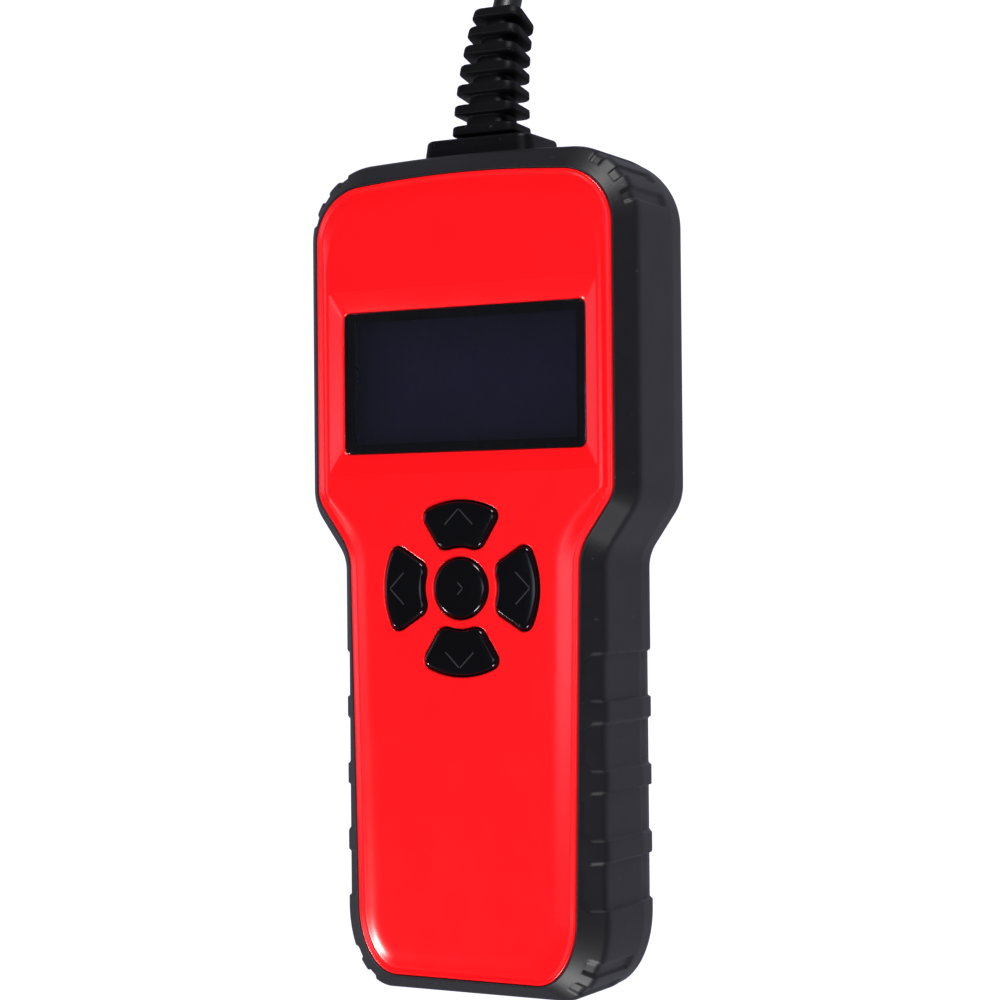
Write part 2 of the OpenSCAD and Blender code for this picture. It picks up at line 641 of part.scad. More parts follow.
module strain_relief() color(black_rubber)
    solid_loft(concat([core_ring(0)],
        [for (k = [0:rib_count - 1], e = [-1, 1]) let (s = rib_first + k * rib_pitch)
            each e < 0 ? [core_ring(s - rib_half[0]), rib_ring(s - rib_half[1])]
                       : [rib_ring(s + rib_half[1]), core_ring(s + rib_half[0])]],
        [core_ring(relief_len)]));

// ---- free cable, coil and plug -------------------------------------------------------------
coil_mid = [-12, 179];
coil_base = tie_t + fit_gap;
low_z = coil_base + cable_d / 2;
top_turn_z = low_z + 5.2;
plug_x = coil_mid[0] + coil_r - cable_d / 2;
plug_z = grip_h / 2;
plug_relief_y = 216;
plug_relief_len = 20;
grip_y = plug_relief_y + plug_relief_len;
shroud_y = grip_y + grip_len;

// Hand-laid route from the strain relief to the coil: on down to the floor, then round to the right
cable_route = [
    [0, 125, 5.9], [0.3, 130, 4.45], [1.2, 135, 3.85], [3, 140, 3.62], [5.6, 144.5, 3.56], [8.6, 148.6, 3.55],
    [11.1, 151.4, 3.55]
];
// Route from the top turn of the coil to the plug
tail_route = [[21, 179, 8.75], [21, 186, 9.1], [21, 193, 9.6], [21, 199, 9.8], [21, 206, 10], [21, 212, 10.3]];

module cable() color(black_rubber) tube(concat([droop_point(relief_len + 0.3)], cable_route), cable_d);
module cable_tail() color(black_rubber) tube(concat(tail_route, [[plug_x, plug_relief_y - 0.3, plug_z]]), cable_d);

// Outer shape of the turns: three on the floor, and two in the grooves on top of them
module coil_profile() hull() {
    for (r = [coil_r, coil_r - 2 * cable_d]) translate([r, low_z]) circle(d = cable_d, $fn = 24);
    for (r = [coil_r - cable_d / 2, coil_r - 1.5 * cable_d])
        translate([r, top_turn_z]) circle(d = cable_d, $fn = 24);
}

module cable_coil() color(black_rubber)
    translate([coil_mid[0], coil_mid[1], 0]) rotate_extrude($fn = 96) coil_profile();

module coil_tie() color([0.08, 0.08, 0.09])
    translate([coil_mid[0], coil_mid[1], 0]) rotate([0, 0, 92]) rotate_extrude(angle = 20, $fn = 96) difference() {
        offset(tie_t + fit_gap / 2) coil_profile();
        offset(fit_gap / 2) coil_profile();
    }

// Ribbed relief at the plug's end of the cable
module plug_strain_relief() color(black_rubber)
    solid_loft([for (k = [0:19]) let (s = k * plug_relief_len / 19, rib = k % 4 < 2 ? 0 : 1.1)
        section([plug_x, plug_relief_y + s, plug_z], [0, 1, 0], 3.6 + 0.12 * s + rib, 3.6 + 0.12 * s + rib,
                3.6 + 0.12 * s + rib, 20)]);

module grip_slice(w, h, r, y0, y1) {
    translate([plug_x, y1, plug_z]) rotate([90, 0, 0]) linear_extrude(y1 - y0)
        offset(r) square([w - 2 * r, h - 2 * r], center = true);
}

module plug_grip() color(black_plastic) difference() {
    union() {
        grip_slice(grip_w - 14, grip_h - 3, 5, grip_y + 0.02, grip_y + 3);
        grip_slice(grip_w - 5, grip_h - 1, 5.5, grip_y + 2.99, grip_y + 7);
        grip_slice(grip_w, grip_h, 6, grip_y + 6.99, shroud_y);
    }
    // finger grooves
    for (s = [-1, 1], k = [0:3]) translate([plug_x + s * (grip_w / 2 + 0.9), grip_y + 12 + 5 * k, -1])
        cylinder(r = 1.7, h = grip_h + 2);
    // pocket that the contact carrier sits in
    translate([plug_x - 16.5, shroud_y - 12, plug_z - 6.5]) cube([33, 13, 13]);
}

shroud_wide = 38.6;
shroud_narrow = 34.6;
shroud_h = 18.6;
shroud_wall = 1.5;
carrier_floor = 4;

function d_shape(grow) = [
    [-shroud_wide / 2 - grow, -shroud_h / 2 - grow], [shroud_wide / 2 + grow, -shroud_h / 2 - grow],
    [shroud_wide / 2 + grow, -2], [shroud_narrow / 2 + grow, shroud_h / 2 + grow],
    [-shroud_narrow / 2 - grow, shroud_h / 2 + grow], [-shroud_wide / 2 - grow, -2]];

module plug_prism(line, y0, y1) {
    translate([plug_x, y1, plug_z]) rotate([90, 0, 0]) linear_extrude(y1 - y0) polygon(line);
}

module plug_shroud() color(gloss_black) difference() {
    plug_prism(d_shape(0), shroud_y + 0.02, shroud_y + shroud_len);
    plug_prism(d_shape(-shroud_wall), shroud_y - 1, shroud_y + shroud_len + 1);
}

pin_w = 2.4;
pin_t = 0.8;
pin_row = 4;
pin_tip_y = shroud_y + shroud_len - 7;
tongue_half = 1.1;

module pin_carrier() color([0.12, 0.12, 0.13]) difference() {
    union() {
        plug_prism(d_shape(-shroud_wall - 0.1), shroud_y + 0.02, shroud_y + carrier_floor);
        translate([plug_x - 16.3, shroud_y - 11.8, plug_z - 6.3]) cube([32.6, 12, 12.6]);
        translate([plug_x - 14.5, shroud_y + carrier_floor - eps, plug_z - tongue_half])
            cube([29, pin_tip_y - shroud_y - carrier_floor, 2 * tongue_half]);
    }
    pin_blades(0.05, shroud_y - 9);
}

module pin_blades(grow, y0) {
    for (i = [0:7], s = [-1, 1])
        translate([plug_x + (i - 3.5) * pin_pitch - pin_w / 2 - grow, y0, plug_z + s * pin_row - pin_t / 2 - grow])
            cube([pin_w + 2 * grow, pin_tip_y - y0, pin_t + 2 * grow]);
}

module plug_pins() color(gold) pin_blades(0, shroud_y - 8.9);

rear_shell();
front_cover();
bumper_boot();
display_lens();
lens_gasket();
lcd_frame();
lcd_glass();
lcd_backlight();
lcd_flex();
keypad_mat();
dome("up");  // dome_up
dome("down");  // dome_down
dome("left");  // dome_left
dome("right");  // dome_right
dome("enter");  // dome_enter
key_cap("up");  // key_up
key_cap("down");  // key_down
key_cap("left");  // key_left
key_cap("right");  // key_right
key_cap("enter");  // key_enter
puck("up");  // puck_up
puck("down");  // puck_down
puck("left");  // puck_left
puck("right");  // puck_right
puck("enter");  // puck_enter
main_board();
contact_pads();
processor_chip();
transceiver_chips();
crystal();
buzzer();
capacitors();
cable_header();
crimp_housing();
inner_wires();
inner_cable();
cable_clamp();
clamp_screws();
board_screws();
case_screws();
rear_label();
gland_block();
strain_relief();
cable();
cable_coil();
cable_tail();
coil_tie();
plug_strain_relief();
plug_grip();
plug_shroud();
pin_carrier();
plug_pins();
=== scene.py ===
"""The looks of a handheld engine code reader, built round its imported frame.

Shapes are worked in millimetres in the frame's own axes, and a piece becomes metres when its mesh is
finished. The reader lies on its back: +Z is the way the display faces and +Y is the cable end.
"""

import logging
import math
from collections.abc import Callable, Iterable, Sequence
from dataclasses import dataclass, field
from enum import Enum

import bmesh
import bpy
from mathutils import Matrix, Vector


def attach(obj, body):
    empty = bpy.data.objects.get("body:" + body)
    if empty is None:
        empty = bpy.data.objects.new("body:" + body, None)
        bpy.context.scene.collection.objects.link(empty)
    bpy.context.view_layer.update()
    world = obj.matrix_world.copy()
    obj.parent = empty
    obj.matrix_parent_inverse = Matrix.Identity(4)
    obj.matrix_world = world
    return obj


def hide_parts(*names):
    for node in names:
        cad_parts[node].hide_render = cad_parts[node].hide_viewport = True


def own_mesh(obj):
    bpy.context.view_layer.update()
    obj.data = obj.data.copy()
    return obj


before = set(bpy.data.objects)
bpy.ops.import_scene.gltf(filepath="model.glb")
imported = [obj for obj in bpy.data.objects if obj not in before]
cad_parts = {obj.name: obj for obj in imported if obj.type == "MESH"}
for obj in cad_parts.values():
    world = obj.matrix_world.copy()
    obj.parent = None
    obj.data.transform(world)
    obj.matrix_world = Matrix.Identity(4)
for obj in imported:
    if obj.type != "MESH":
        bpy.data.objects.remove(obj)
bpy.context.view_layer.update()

log = logging.getLogger("reader")

MM = 0.001
READER = "reader"
FLAT_Z = 30.0
Ring = list[Vector]
Rgb = tuple[float, float, float]


# ---- small maths ---------------------------------------------------------------------------


def spaced(low: float, high: float, count: int) -> list[float]:
    """Even steps from low to high.

    Args:
        low: The first value.
        high: The last value.
        count: How many values there are.

    Returns:
        The values in order.
    """
    return [low + (high - low) * i / (count - 1) for i in range(count)]


def smooth(x: float) -> float:
    """A step from 0 to 1 that starts and ends gently as x goes from 0 to 1."""
    x = min(1.0, max(0.0, x))
    return x * x * (3 - 2 * x)


def mix(a: float, b: float, t: float) -> float:
    """The value a share t of the way from a to b."""
    return a + (b - a) * t


def rounded_rect(
    width: float, height: float, radius: float, steps: int = 8, straight: int = 1
) -> list[tuple[float, float]]:
    """The outline of a rectangle with round corners, counterclockwise about the origin.

    Args:
        width: Size along the first axis.
        height: Size along the second axis.
        radius: Radius of the corners.
        steps: Pieces in each corner's arc.
        straight: Pieces in each straight edge.

    Returns:
        Points as pairs.
    """
    arcs = []
    for corner in range(4):
        start = corner * 90.0
        mid_x = (width / 2 - radius) * (1 if corner in (0, 3) else -1)
        mid_y = (height / 2 - radius) * (1 if corner in (0, 1) else -1)
        turns = [math.radians(a) for a in spaced(start, start + 90.0, steps + 1)]
        arcs.append([(mid_x + radius * math.cos(a), mid_y + radius * math.sin(a)) for a in turns])
    points = []
    for arc, following in zip(arcs, [*arcs[1:], arcs[0]], strict=True):
        (x0, y0), (x1, y1) = arc[-1], following[0]
        points += arc
        points += [(mix(x0, x1, t), mix(y0, y1, t)) for t in spaced(0, 1, straight + 1)[1:-1]]
    return points


# ---- finishes ------------------------------------------------------------------------------


def group_socket(
    group: bpy.types.NodeTree, name: str, way: str, kind: str, default: float | Rgb | None = None
) -> None:
    """Adds a named socket to a shader group.

    Args:
        group: The group.
        name: The socket's name.
        way: INPUT or OUTPUT.
        kind: The socket's type.
        default: Its starting value, if it has one.
    """
    socket = group.interface.new_socket(name=name, in_out=way, socket_type=kind)
    if default is not None:
        socket.default_value = (*default, 1.0) if isinstance(default, tuple) else default


def noise(
    tree: bpy.types.NodeTree, scale: float, detail: float, source: bpy.types.NodeSocket
) -> bpy.types.Node:
    """A noise texture on the piece's own coordinates.

    Args:
        tree: The node tree it stands in.
        scale: Features to a metre.
        detail: Octaves.
        source: The coordinates.

    Returns:
        The texture node.
    """
    node = tree.nodes.new("ShaderNodeTexNoise")
    node.inputs["Scale"].default_value = scale
    node.inputs["Detail"].default_value = detail
    tree.links.new(source, node.inputs["Vector"])
    return node


def maths(
    tree: bpy.types.NodeTree, operation: str, *values: float | bpy.types.NodeSocket
) -> bpy.types.NodeSocket:
    """A maths node fed with numbers or sockets.

    Args:
        tree: The node tree it stands in.
        operation: The node's operation.
        values: What goes into each input in turn.

    Returns:
        The node's output.
    """
    node = tree.nodes.new("ShaderNodeMath")
    node.operation = operation
    for i, value in enumerate(values):
        if isinstance(value, bpy.types.NodeSocket):
            tree.links.new(value, node.inputs[i])
        else:
            node.inputs[i].default_value = value
    return node.outputs[0]


def surface_group() -> bpy.types.NodeTree:
    """The shared surface of a moulded or plated thing: mottled colour, uneven gloss and a fine grain.

    Returns:
        The group, made once.
    """
    name = "surface"
    if name in bpy.data.node_groups:
        return bpy.data.node_groups[name]
    g = bpy.data.node_groups.new(name, "ShaderNodeTree")
    group_socket(g, "Colour", "INPUT", "NodeSocketColor", (0.5, 0.5, 0.5))
    plain = {"Mottle": 0.1, "Roughness": 0.5, "Spread": 0.1, "Grain Scale": 2000.0, "Dust": 0.0}
    for socket, default in plain.items():
        group_socket(g, socket, "INPUT", "NodeSocketFloat", default)
    group_socket(g, "Colour", "OUTPUT", "NodeSocketColor")
    for socket in ("Roughness", "Height"):
        group_socket(g, socket, "OUTPUT", "NodeSocketFloat")
    into = g.nodes.new("NodeGroupInput")
    out = g.nodes.new("NodeGroupOutput")
    coords = g.nodes.new("ShaderNodeTexCoord").outputs["Object"]
    broad = noise(g, 38.0, 3.0, coords).outputs["Fac"]
    patches = noise(g, 160.0, 4.0, coords).outputs["Fac"]
    fine = noise(g, 2000.0, 2.0, coords)
    g.links.new(into.outputs["Grain Scale"], fine.inputs["Scale"])
    # specks of dust: only the crests of a small noise show
    specks = noise(g, 900.0, 1.0, coords).outputs["Fac"]
    crests = g.nodes.new("ShaderNodeMapRange")
    crests.inputs["From Min"].default_value = 0.74
    crests.inputs["From Max"].default_value = 0.82
    g.links.new(specks, crests.inputs["Value"])
    dust = maths(g, "MULTIPLY", crests.outputs[0], into.outputs["Dust"])
    shade = maths(g, "SUBTRACT", maths(g, "ADD", broad, patches), 1.0)
    dim = maths(g, "ADD", maths(g, "MULTIPLY", shade, into.outputs["Mottle"]), 1.0)
    tone = g.nodes.new("ShaderNodeVectorMath")
    tone.operation = "SCALE"
    g.links.new(into.outputs["Colour"], tone.inputs[0])
    g.links.new(dim, tone.inputs["Scale"])
    dusty = g.nodes.new("ShaderNodeMix")
    dusty.data_type = "RGBA"
    dusty.inputs[7].default_value = (0.35, 0.34, 0.33, 1.0)
    g.links.new(dust, dusty.inputs[0])
    g.links.new(tone.outputs[0], dusty.inputs[6])
    g.links.new(dusty.outputs[2], out.inputs["Colour"])
    rough = maths(g, "ADD", into.outputs["Roughness"], maths(g, "MULTIPLY", shade, into.outputs["Spread"]))
    g.links.new(rough, out.inputs["Roughness"])
    g.links.new(maths(g, "MULTIPLY_ADD", broad, 0.2, fine.outputs["Fac"]), out.inputs["Height"])
    return g


@dataclass(frozen=True)
class Finish:
    """A surface from its colour to its grain.

    Attributes:
        name: What the surface is, in a maker's words.
        colour: Its own colour, in linear light.
        roughness: How matte it is.
        metallic: One for a metal.
        mottle: How much the colour varies over the surface.
        spread: How much the gloss varies.
        grain: Height of the grain in millimetres.
        grain_size: Size of one grain in millimetres.
        coat: Weight of a clear gloss on top.
        dust: How much dust shows.
        specular: Level of the plain reflection.
    """

    name: str
    colour: Rgb
    roughness: float
    metallic: float = 0.0
    mottle: float = 0.08
    spread: float = 0.08
    grain: float = 0.01
    grain_size: float = 0.4
    coat: float = 0.0
    dust: float = 0.0
    specular: float = 0.5

    def material(self) -> bpy.types.Material:
        """The finish as a material.

        Returns:
            The material, made once.
        """
        if self.name in bpy.data.materials:
            return bpy.data.materials[self.name]
        made = bpy.data.materials.new(self.name)
        made.use_nodes = True
        tree = made.node_tree
        shader = tree.nodes["Principled BSDF"]
        surface = tree.nodes.new("ShaderNodeGroup")
        surface.node_tree = surface_group()
        surface.inputs["Colour"].default_value = (*self.colour, 1.0)
        values = {
            "Mottle": self.mottle, "Roughness": self.roughness, "Spread": self.spread,
            "Grain Scale": 1.0 / (self.grain_size * MM), "Dust": self.dust,
        }
        for socket, value in values.items():
            surface.inputs[socket].default_value = value
        tree.links.new(surface.outputs["Colour"], shader.inputs["Base Color"])
        tree.links.new(surface.outputs["Roughness"], shader.inputs["Roughness"])
        shader.inputs["Metallic"].default_value = self.metallic
        shader.inputs["Specular IOR Level"].default_value = self.specular
        shader.inputs["Coat Weight"].default_value = self.coat
        shader.inputs["Coat Roughness"].default_value = 0.06
        if self.grain:
            bump = tree.nodes.new("ShaderNodeBump")
            bump.inputs["Strength"].default_value = 1.0
            bump.inputs["Distance"].default_value = self.grain * MM
            tree.links.new(surface.outputs["Height"], bump.inputs["Height"])
            tree.links.new(bump.outputs["Normal"], shader.inputs["Normal"])
        return made


@dataclass(frozen=True)
class ClearFinish:
    """A clear or tinted window.

    Attributes:
        name: What it is.
        tint: The colour of what comes through.
        roughness: How matte it is.
    """

    name: str
    tint: Rgb
    roughness: float

    def material(self) -> bpy.types.Material:
        """The window as a material.

        Returns:
            The material, made once.
        """
        if self.name in bpy.data.materials:
            return bpy.data.materials[self.name]
        made = bpy.data.materials.new(self.name)
        made.use_nodes = True
        shader = made.node_tree.nodes["Principled BSDF"]
        shader.inputs["Base Color"].default_value = (*self.tint, 1.0)
        shader.inputs["Roughness"].default_value = self.roughness
        shader.inputs["Transmission Weight"].default_value = 1.0
        shader.inputs["Specular IOR Level"].default_value = 0.25
        shader.inputs["IOR"].default_value = 1.49
        return made


RED_SHELL = Finish(
    "glossy red shell", (0.93, 0.004, 0.007),
    0.22, mottle=0.02, spread=0.05, grain=0.0015, grain_size=0.5,
)
BOOT_RUBBER = Finish(
    "matte boot rubber", (0.0065, 0.0065, 0.0085),
    0.44, mottle=0.25, grain=0.012, grain_size=0.22, dust=0.08, specular=0.4,
)
REAR_PLASTIC = Finish(
    "rear shell plastic", (0.022, 0.022, 0.025),
    0.5, mottle=0.15, grain=0.03, grain_size=0.35, dust=0.05,
)
KEY_PLASTIC = Finish(
    "polished key plastic", (0.0016, 0.0016, 0.0022),
    0.13, mottle=0.1, spread=0.05, grain=0.0006, specular=0.4,
)
GLAND_RUBBER = Finish(
    "gland rubber", (0.003, 0.003, 0.0042),
    0.42, mottle=0.2, grain=0.01, grain_size=0.25, dust=0.08, specular=0.16,
)
RELIEF_RUBBER = Finish(
    "strain relief rubber", (0.0035, 0.0035, 0.0045),
    0.5, mottle=0.2, grain=0.006, grain_size=0.3, dust=0.1, specular=0.13,
)
CABLE_JACKET = Finish(
    "cable jacket", (0.006, 0.006, 0.007),
    0.4, mottle=0.2, grain=0.004, grain_size=0.6, dust=0.1,
)
STRAP_CLOTH = Finish(
    "strap cloth", (0.012, 0.012, 0.014),
    0.9, mottle=0.5, grain=0.12, grain_size=0.3, dust=0.2,
)
PLUG_PLASTIC = Finish(
    "plug grip plastic", (0.016, 0.016, 0.018),
    0.48, mottle=0.15, grain=0.03, grain_size=0.4, dust=0.05,
)
SHROUD_PLASTIC = Finish("plug shroud plastic", (0.012, 0.012, 0.013), 0.34, mottle=0.1, grain=0.006)
# the mark's lighter colour is a painted highlight: it stands for light caught by the engraved strokes on the
# keys
KEY_MARK_PAINTED_HIGHLIGHT = Finish("key mark", (0.022, 0.022, 0.026), 0.35, grain=0.0)
PRINT_BLACK = Finish(
    "black window print", (0.001, 0.001, 0.0012),
    0.5, mottle=0.0, spread=0.0, grain=0.0, specular=0.0,
)
LCD_FINISH = Finish(
    "dark display", (0.0095, 0.0088, 0.027),
    0.3, mottle=0.4, spread=0.05, grain=0.0, specular=0.1,
)
GASKET = Finish("gasket foam", (0.012, 0.012, 0.012), 0.9, mottle=0.3, grain=0.05, grain_size=0.3)
SHEET_STEEL = Finish("tinned sheet", (0.62, 0.62, 0.64), 0.3, metallic=1.0, spread=0.15, grain=0.002)
WHITE_PLASTIC = Finish("white moulding", (0.72, 0.70, 0.64), 0.42)
FLEX_FILM = Finish("flexible film", (0.45, 0.2, 0.04), 0.3)
SILICONE = Finish("keypad silicone", (0.2, 0.21, 0.23), 0.55)
CARBON_RUBBER = Finish("carbon rubber", (0.02, 0.02, 0.02), 0.7)
BOARD_MASK = Finish("board lacquer", (0.008, 0.10, 0.045), 0.3, coat=0.3)
GOLD = Finish("gold plating", (0.83, 0.58, 0.22), 0.22, metallic=1.0, grain=0.002)
CHIP_EPOXY = Finish("chip epoxy", (0.02, 0.02, 0.021), 0.5, grain=0.02)
SLEEVE = Finish("capacitor sleeve", (0.02, 0.03, 0.14), 0.3)
INSULATION = Finish("wire insulation", (0.45, 0.03, 0.02), 0.35)
SCREW_ZINC = Finish(
    "zinc screw", (0.42, 0.43, 0.45),
    0.34, metallic=1.0, mottle=0.25, spread=0.2, grain=0.006,
)
LABEL_FILM = Finish("blank label film", (0.42, 0.43, 0.45), 0.38, metallic=0.3, mottle=0.06, grain=0.003)
CLEAR_LENS = ClearFinish("clear window", (0.93, 0.94, 1.0), 0.03)


# ---- shaping -------------------------------------------------------------------------------


class Shaper:
    """A mesh being shaped in millimetres, and then finished as a piece."""

    def __init__(self) -> None:
        """Starts with nothing."""
        self.bm = bmesh.new()
        self.rims = self.bm.edges.layers.int.new("rim of a flat face")

    def loft(self, rings: Sequence[Ring], closed: bool = False) -> None:
        """Skins a row of closed rings that have the same number of points.

        Args:
            rings: The rings in order.
            closed: Whether the last ring joins the first again.
        """
        rows = [*rings, rings[0]] if closed else list(rings)
        across = len(rows[0])
        made = bmesh.ops.create_grid(self.bm, x_segments=across, y_segments=len(rows) - 1, size=1.0)
        for j, row in enumerate(rows):
            for i in range(across + 1):
                made["verts"][j * (across + 1) + i].co = row[i % across]

    def weld(self, distance: float = 2e-4) -> None:
        """Joins points that lie together.

        Args:
            distance: How close they are, in millimetres.
        """
        bmesh.ops.remove_doubles(self.bm, verts=self.bm.verts[:], dist=distance)

    def fill(self, test: Callable[[Vector], bool]) -> None:
        """Fills the flat face between open edges, holes left open.

        Args:
            test: Says whether a point of an open edge belongs to the face.
        """
        edges = [e for e in self.bm.edges if e.is_boundary and all(test(v.co) for v in e.verts)]
        for edge in edges:
            edge[self.rims] = 1
        bmesh.ops.triangle_fill(self.bm, use_beauty=True, use_dissolve=False, edges=edges)

    def fill_level(self, z: float) -> None:
        """Fills the flat face between the open edges at one height."""
        self.fill(lambda p: abs(p.z - z) < 1e-3)

    def box(
        self, low: Sequence[float], high: Sequence[float], bevel: float = 0.0, segments: int = 2
    ) -> None:
        """Adds a block, with rounded edges if asked.

        Args:
            low: Its lowest corner.
            high: Its highest corner.
            bevel: Size of the rounding.
            segments: Steps in the rounding.
        """
        size = Vector(high) - Vector(low)
        made = bmesh.ops.create_cube(self.bm, size=1.0)["verts"]
        bmesh.ops.scale(self.bm, vec=size, verts=made)
        bmesh.ops.translate(self.bm, vec=(Vector(high) + Vector(low)) / 2, verts=made)
        if bevel:
            bmesh.ops.bevel(
                self.bm,
                geom=list({e for v in made for e in v.link_edges}),
                offset=bevel,
                segments=segments,
                profile=0.5,
                affect="EDGES",
                material=-1,
            )

    def piece(
        self,
        name: str,
        finish: "Finish | ClearFinish",
        body: str = READER,
        slot: str | None = None,
        replaces: Sequence[str] = (),
        crease: float = 40.0,
    ) -> bpy.types.Object:
        """Finishes the mesh as a piece of the reader.

        Args:
            name: The piece's name.
            finish: Its surface.
            body: The body it moves with.
            slot: The record's material slot; not used.
            replaces: Solids that it stands for.
            crease: Edges sharper than this many degrees stay sharp.

        Returns:
            The object.
        """
        bmesh.ops.recalc_face_normals(self.bm, faces=self.bm.faces[:])
        bmesh.ops.scale(self.bm, vec=(MM, MM, MM), verts=self.bm.verts[:])
        for face in self.bm.faces:
            face.smooth = True
        for edge in self.bm.edges:
            edge.smooth = not edge[self.rims] and edge.calc_face_angle(0.0) < math.radians(crease)
        mesh = bpy.data.meshes.new(name)
        self.bm.to_mesh(mesh)
        self.bm.free()
        made = bpy.data.objects.new(name, mesh)
        bpy.context.scene.collection.objects.link(made)
        mesh.materials.append(finish.material())
        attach(made, body)
        if replaces:
            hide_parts(*replaces)
        log.info("%s: %d faces", name, len(mesh.polygons))
        return made


# ---- outline of the case -------------------------------------------------------------------


class Stretch(Enum):
    """The stretches of one side of the case's outline, from its foot to its head."""

    BOTTOM = 0
    FOOT = 1
    HANDLE = 2
    NECK = 3
    HIP = 4
    HEAD = 5
    CORNER = 6
    TOP = 7


STATIONS: list[tuple[Stretch, float]] = [
    *((Stretch.BOTTOM, t) for t in spaced(0, 0.94, 8)),
    *((Stretch.FOOT, a) for a in spaced(90, 0, 50)),
    *((Stretch.HANDLE, y) for y in spaced(-70, -15.5, 150)),
    *((Stretch.HANDLE, y) for y in spaced(-13, -2, 6)),
    *((Stretch.NECK, a) for a in spaced(0, 35, 10)),
    *((Stretch.HIP, a) for a in spaced(35, 0, 12)),
    *((Stretch.HEAD, t) for t in spaced(0.06, 0.94, 14)),
    *((Stretch.CORNER, a) for a in spaced(0, 87, 76)),
    *((Stretch.TOP, t) for t in spaced(0.9, 0, 10)),
]


@dataclass(frozen=True)
class CaseLine:
    """One outline of the case, as sizes in millimetres.

    Attributes:
        head: Half width of the head.
        hand: Half width at the top of the handle.
        foot: Half width at the foot of the handle.
        top: The top edge.
        bottom: The bottom edge.
        corner: Radius of the top corners.
        foot_rx: Bottom corners, radius across.
        foot_ry: Bottom corners, radius along.
        hip: Radius of the waist's convex bend.
        neck: Radius of the waist's hollow bend.
        crown: How far the top edge rises in its middle.
        lean: Angle of the waist's straight stretch.
        waist_y: Where the head starts.
    """

    head: float
    hand: float
    foot: float
    top: float
    bottom: float
    corner: float
    foot_rx: float
    foot_ry: float
    hip: float
    neck: float
    crown: float
    lean: float = 35.0
    waist_y: float = 18.0

    def waist_drop(self) -> float:
        """How far the waist reaches down the handle.

        Returns:
            The distance from where the head starts.
        """
        bends, lean = self.hip + self.neck, math.radians(self.lean)
        straight = (self.head - self.hand - bends * (1 - math.cos(lean))) / math.tan(lean)
        return bends * math.sin(lean) + straight

    def at(self, stretch: Stretch, where: float) -> tuple[float, float, float, float]:
        """A point of the outline and its outward direction.

        Args:
            stretch: The stretch that the point is on.
            where: Its place there: an angle, a height or a share.

        Returns:
            The point's x and y, and the direction's.
        """
        a = math.radians(where)
        c, s = math.cos(a), math.sin(a)
        foot_x, foot_y = self.foot - self.foot_rx, self.bottom + self.foot_ry
        if stretch is Stretch.BOTTOM:
            return where * foot_x, self.bottom, 0.0, -1.0
        if stretch is Stretch.FOOT:
            n = Vector((c / self.foot_rx, -s / self.foot_ry)).normalized()
            return foot_x + self.foot_rx * c, foot_y - self.foot_ry * s, n.x, n.y
        if stretch is Stretch.HANDLE:
            t = min(1.0, max(0.0, (where - foot_y) / -foot_y))
            return mix(self.foot, self.hand, t), where, 1.0, 0.0
        if stretch is Stretch.NECK:
            return self.hand + self.neck * (1 - c), self.waist_y - self.waist_drop() + self.neck * s, c, -s
        if stretch is Stretch.HIP:
            return self.head - self.hip * (1 - c), self.waist_y - self.hip * s, c, -s
        if stretch is Stretch.HEAD:
            return self.head, mix(self.waist_y, self.top - self.corner, where), 1.0, 0.0
        if stretch is Stretch.CORNER:
            return self.head - self.corner * (1 - c), self.top - self.crown - self.corner * (1 - s), c, s
        reach = self.head - self.corner
        n = Vector((2 * self.crown * where / reach, 1.0)).normalized()
        return where * reach, self.top - self.crown * where**2, n.x, n.y


@dataclass(frozen=True)
class Knot:
    """A point of a case section.

    Attributes:
        share: Its place from the boot's line, 0, to the plate's, 1.
        inward: A step inwards from there.
        z: Its height.
    """

    share: float
    inward: float
    z: float


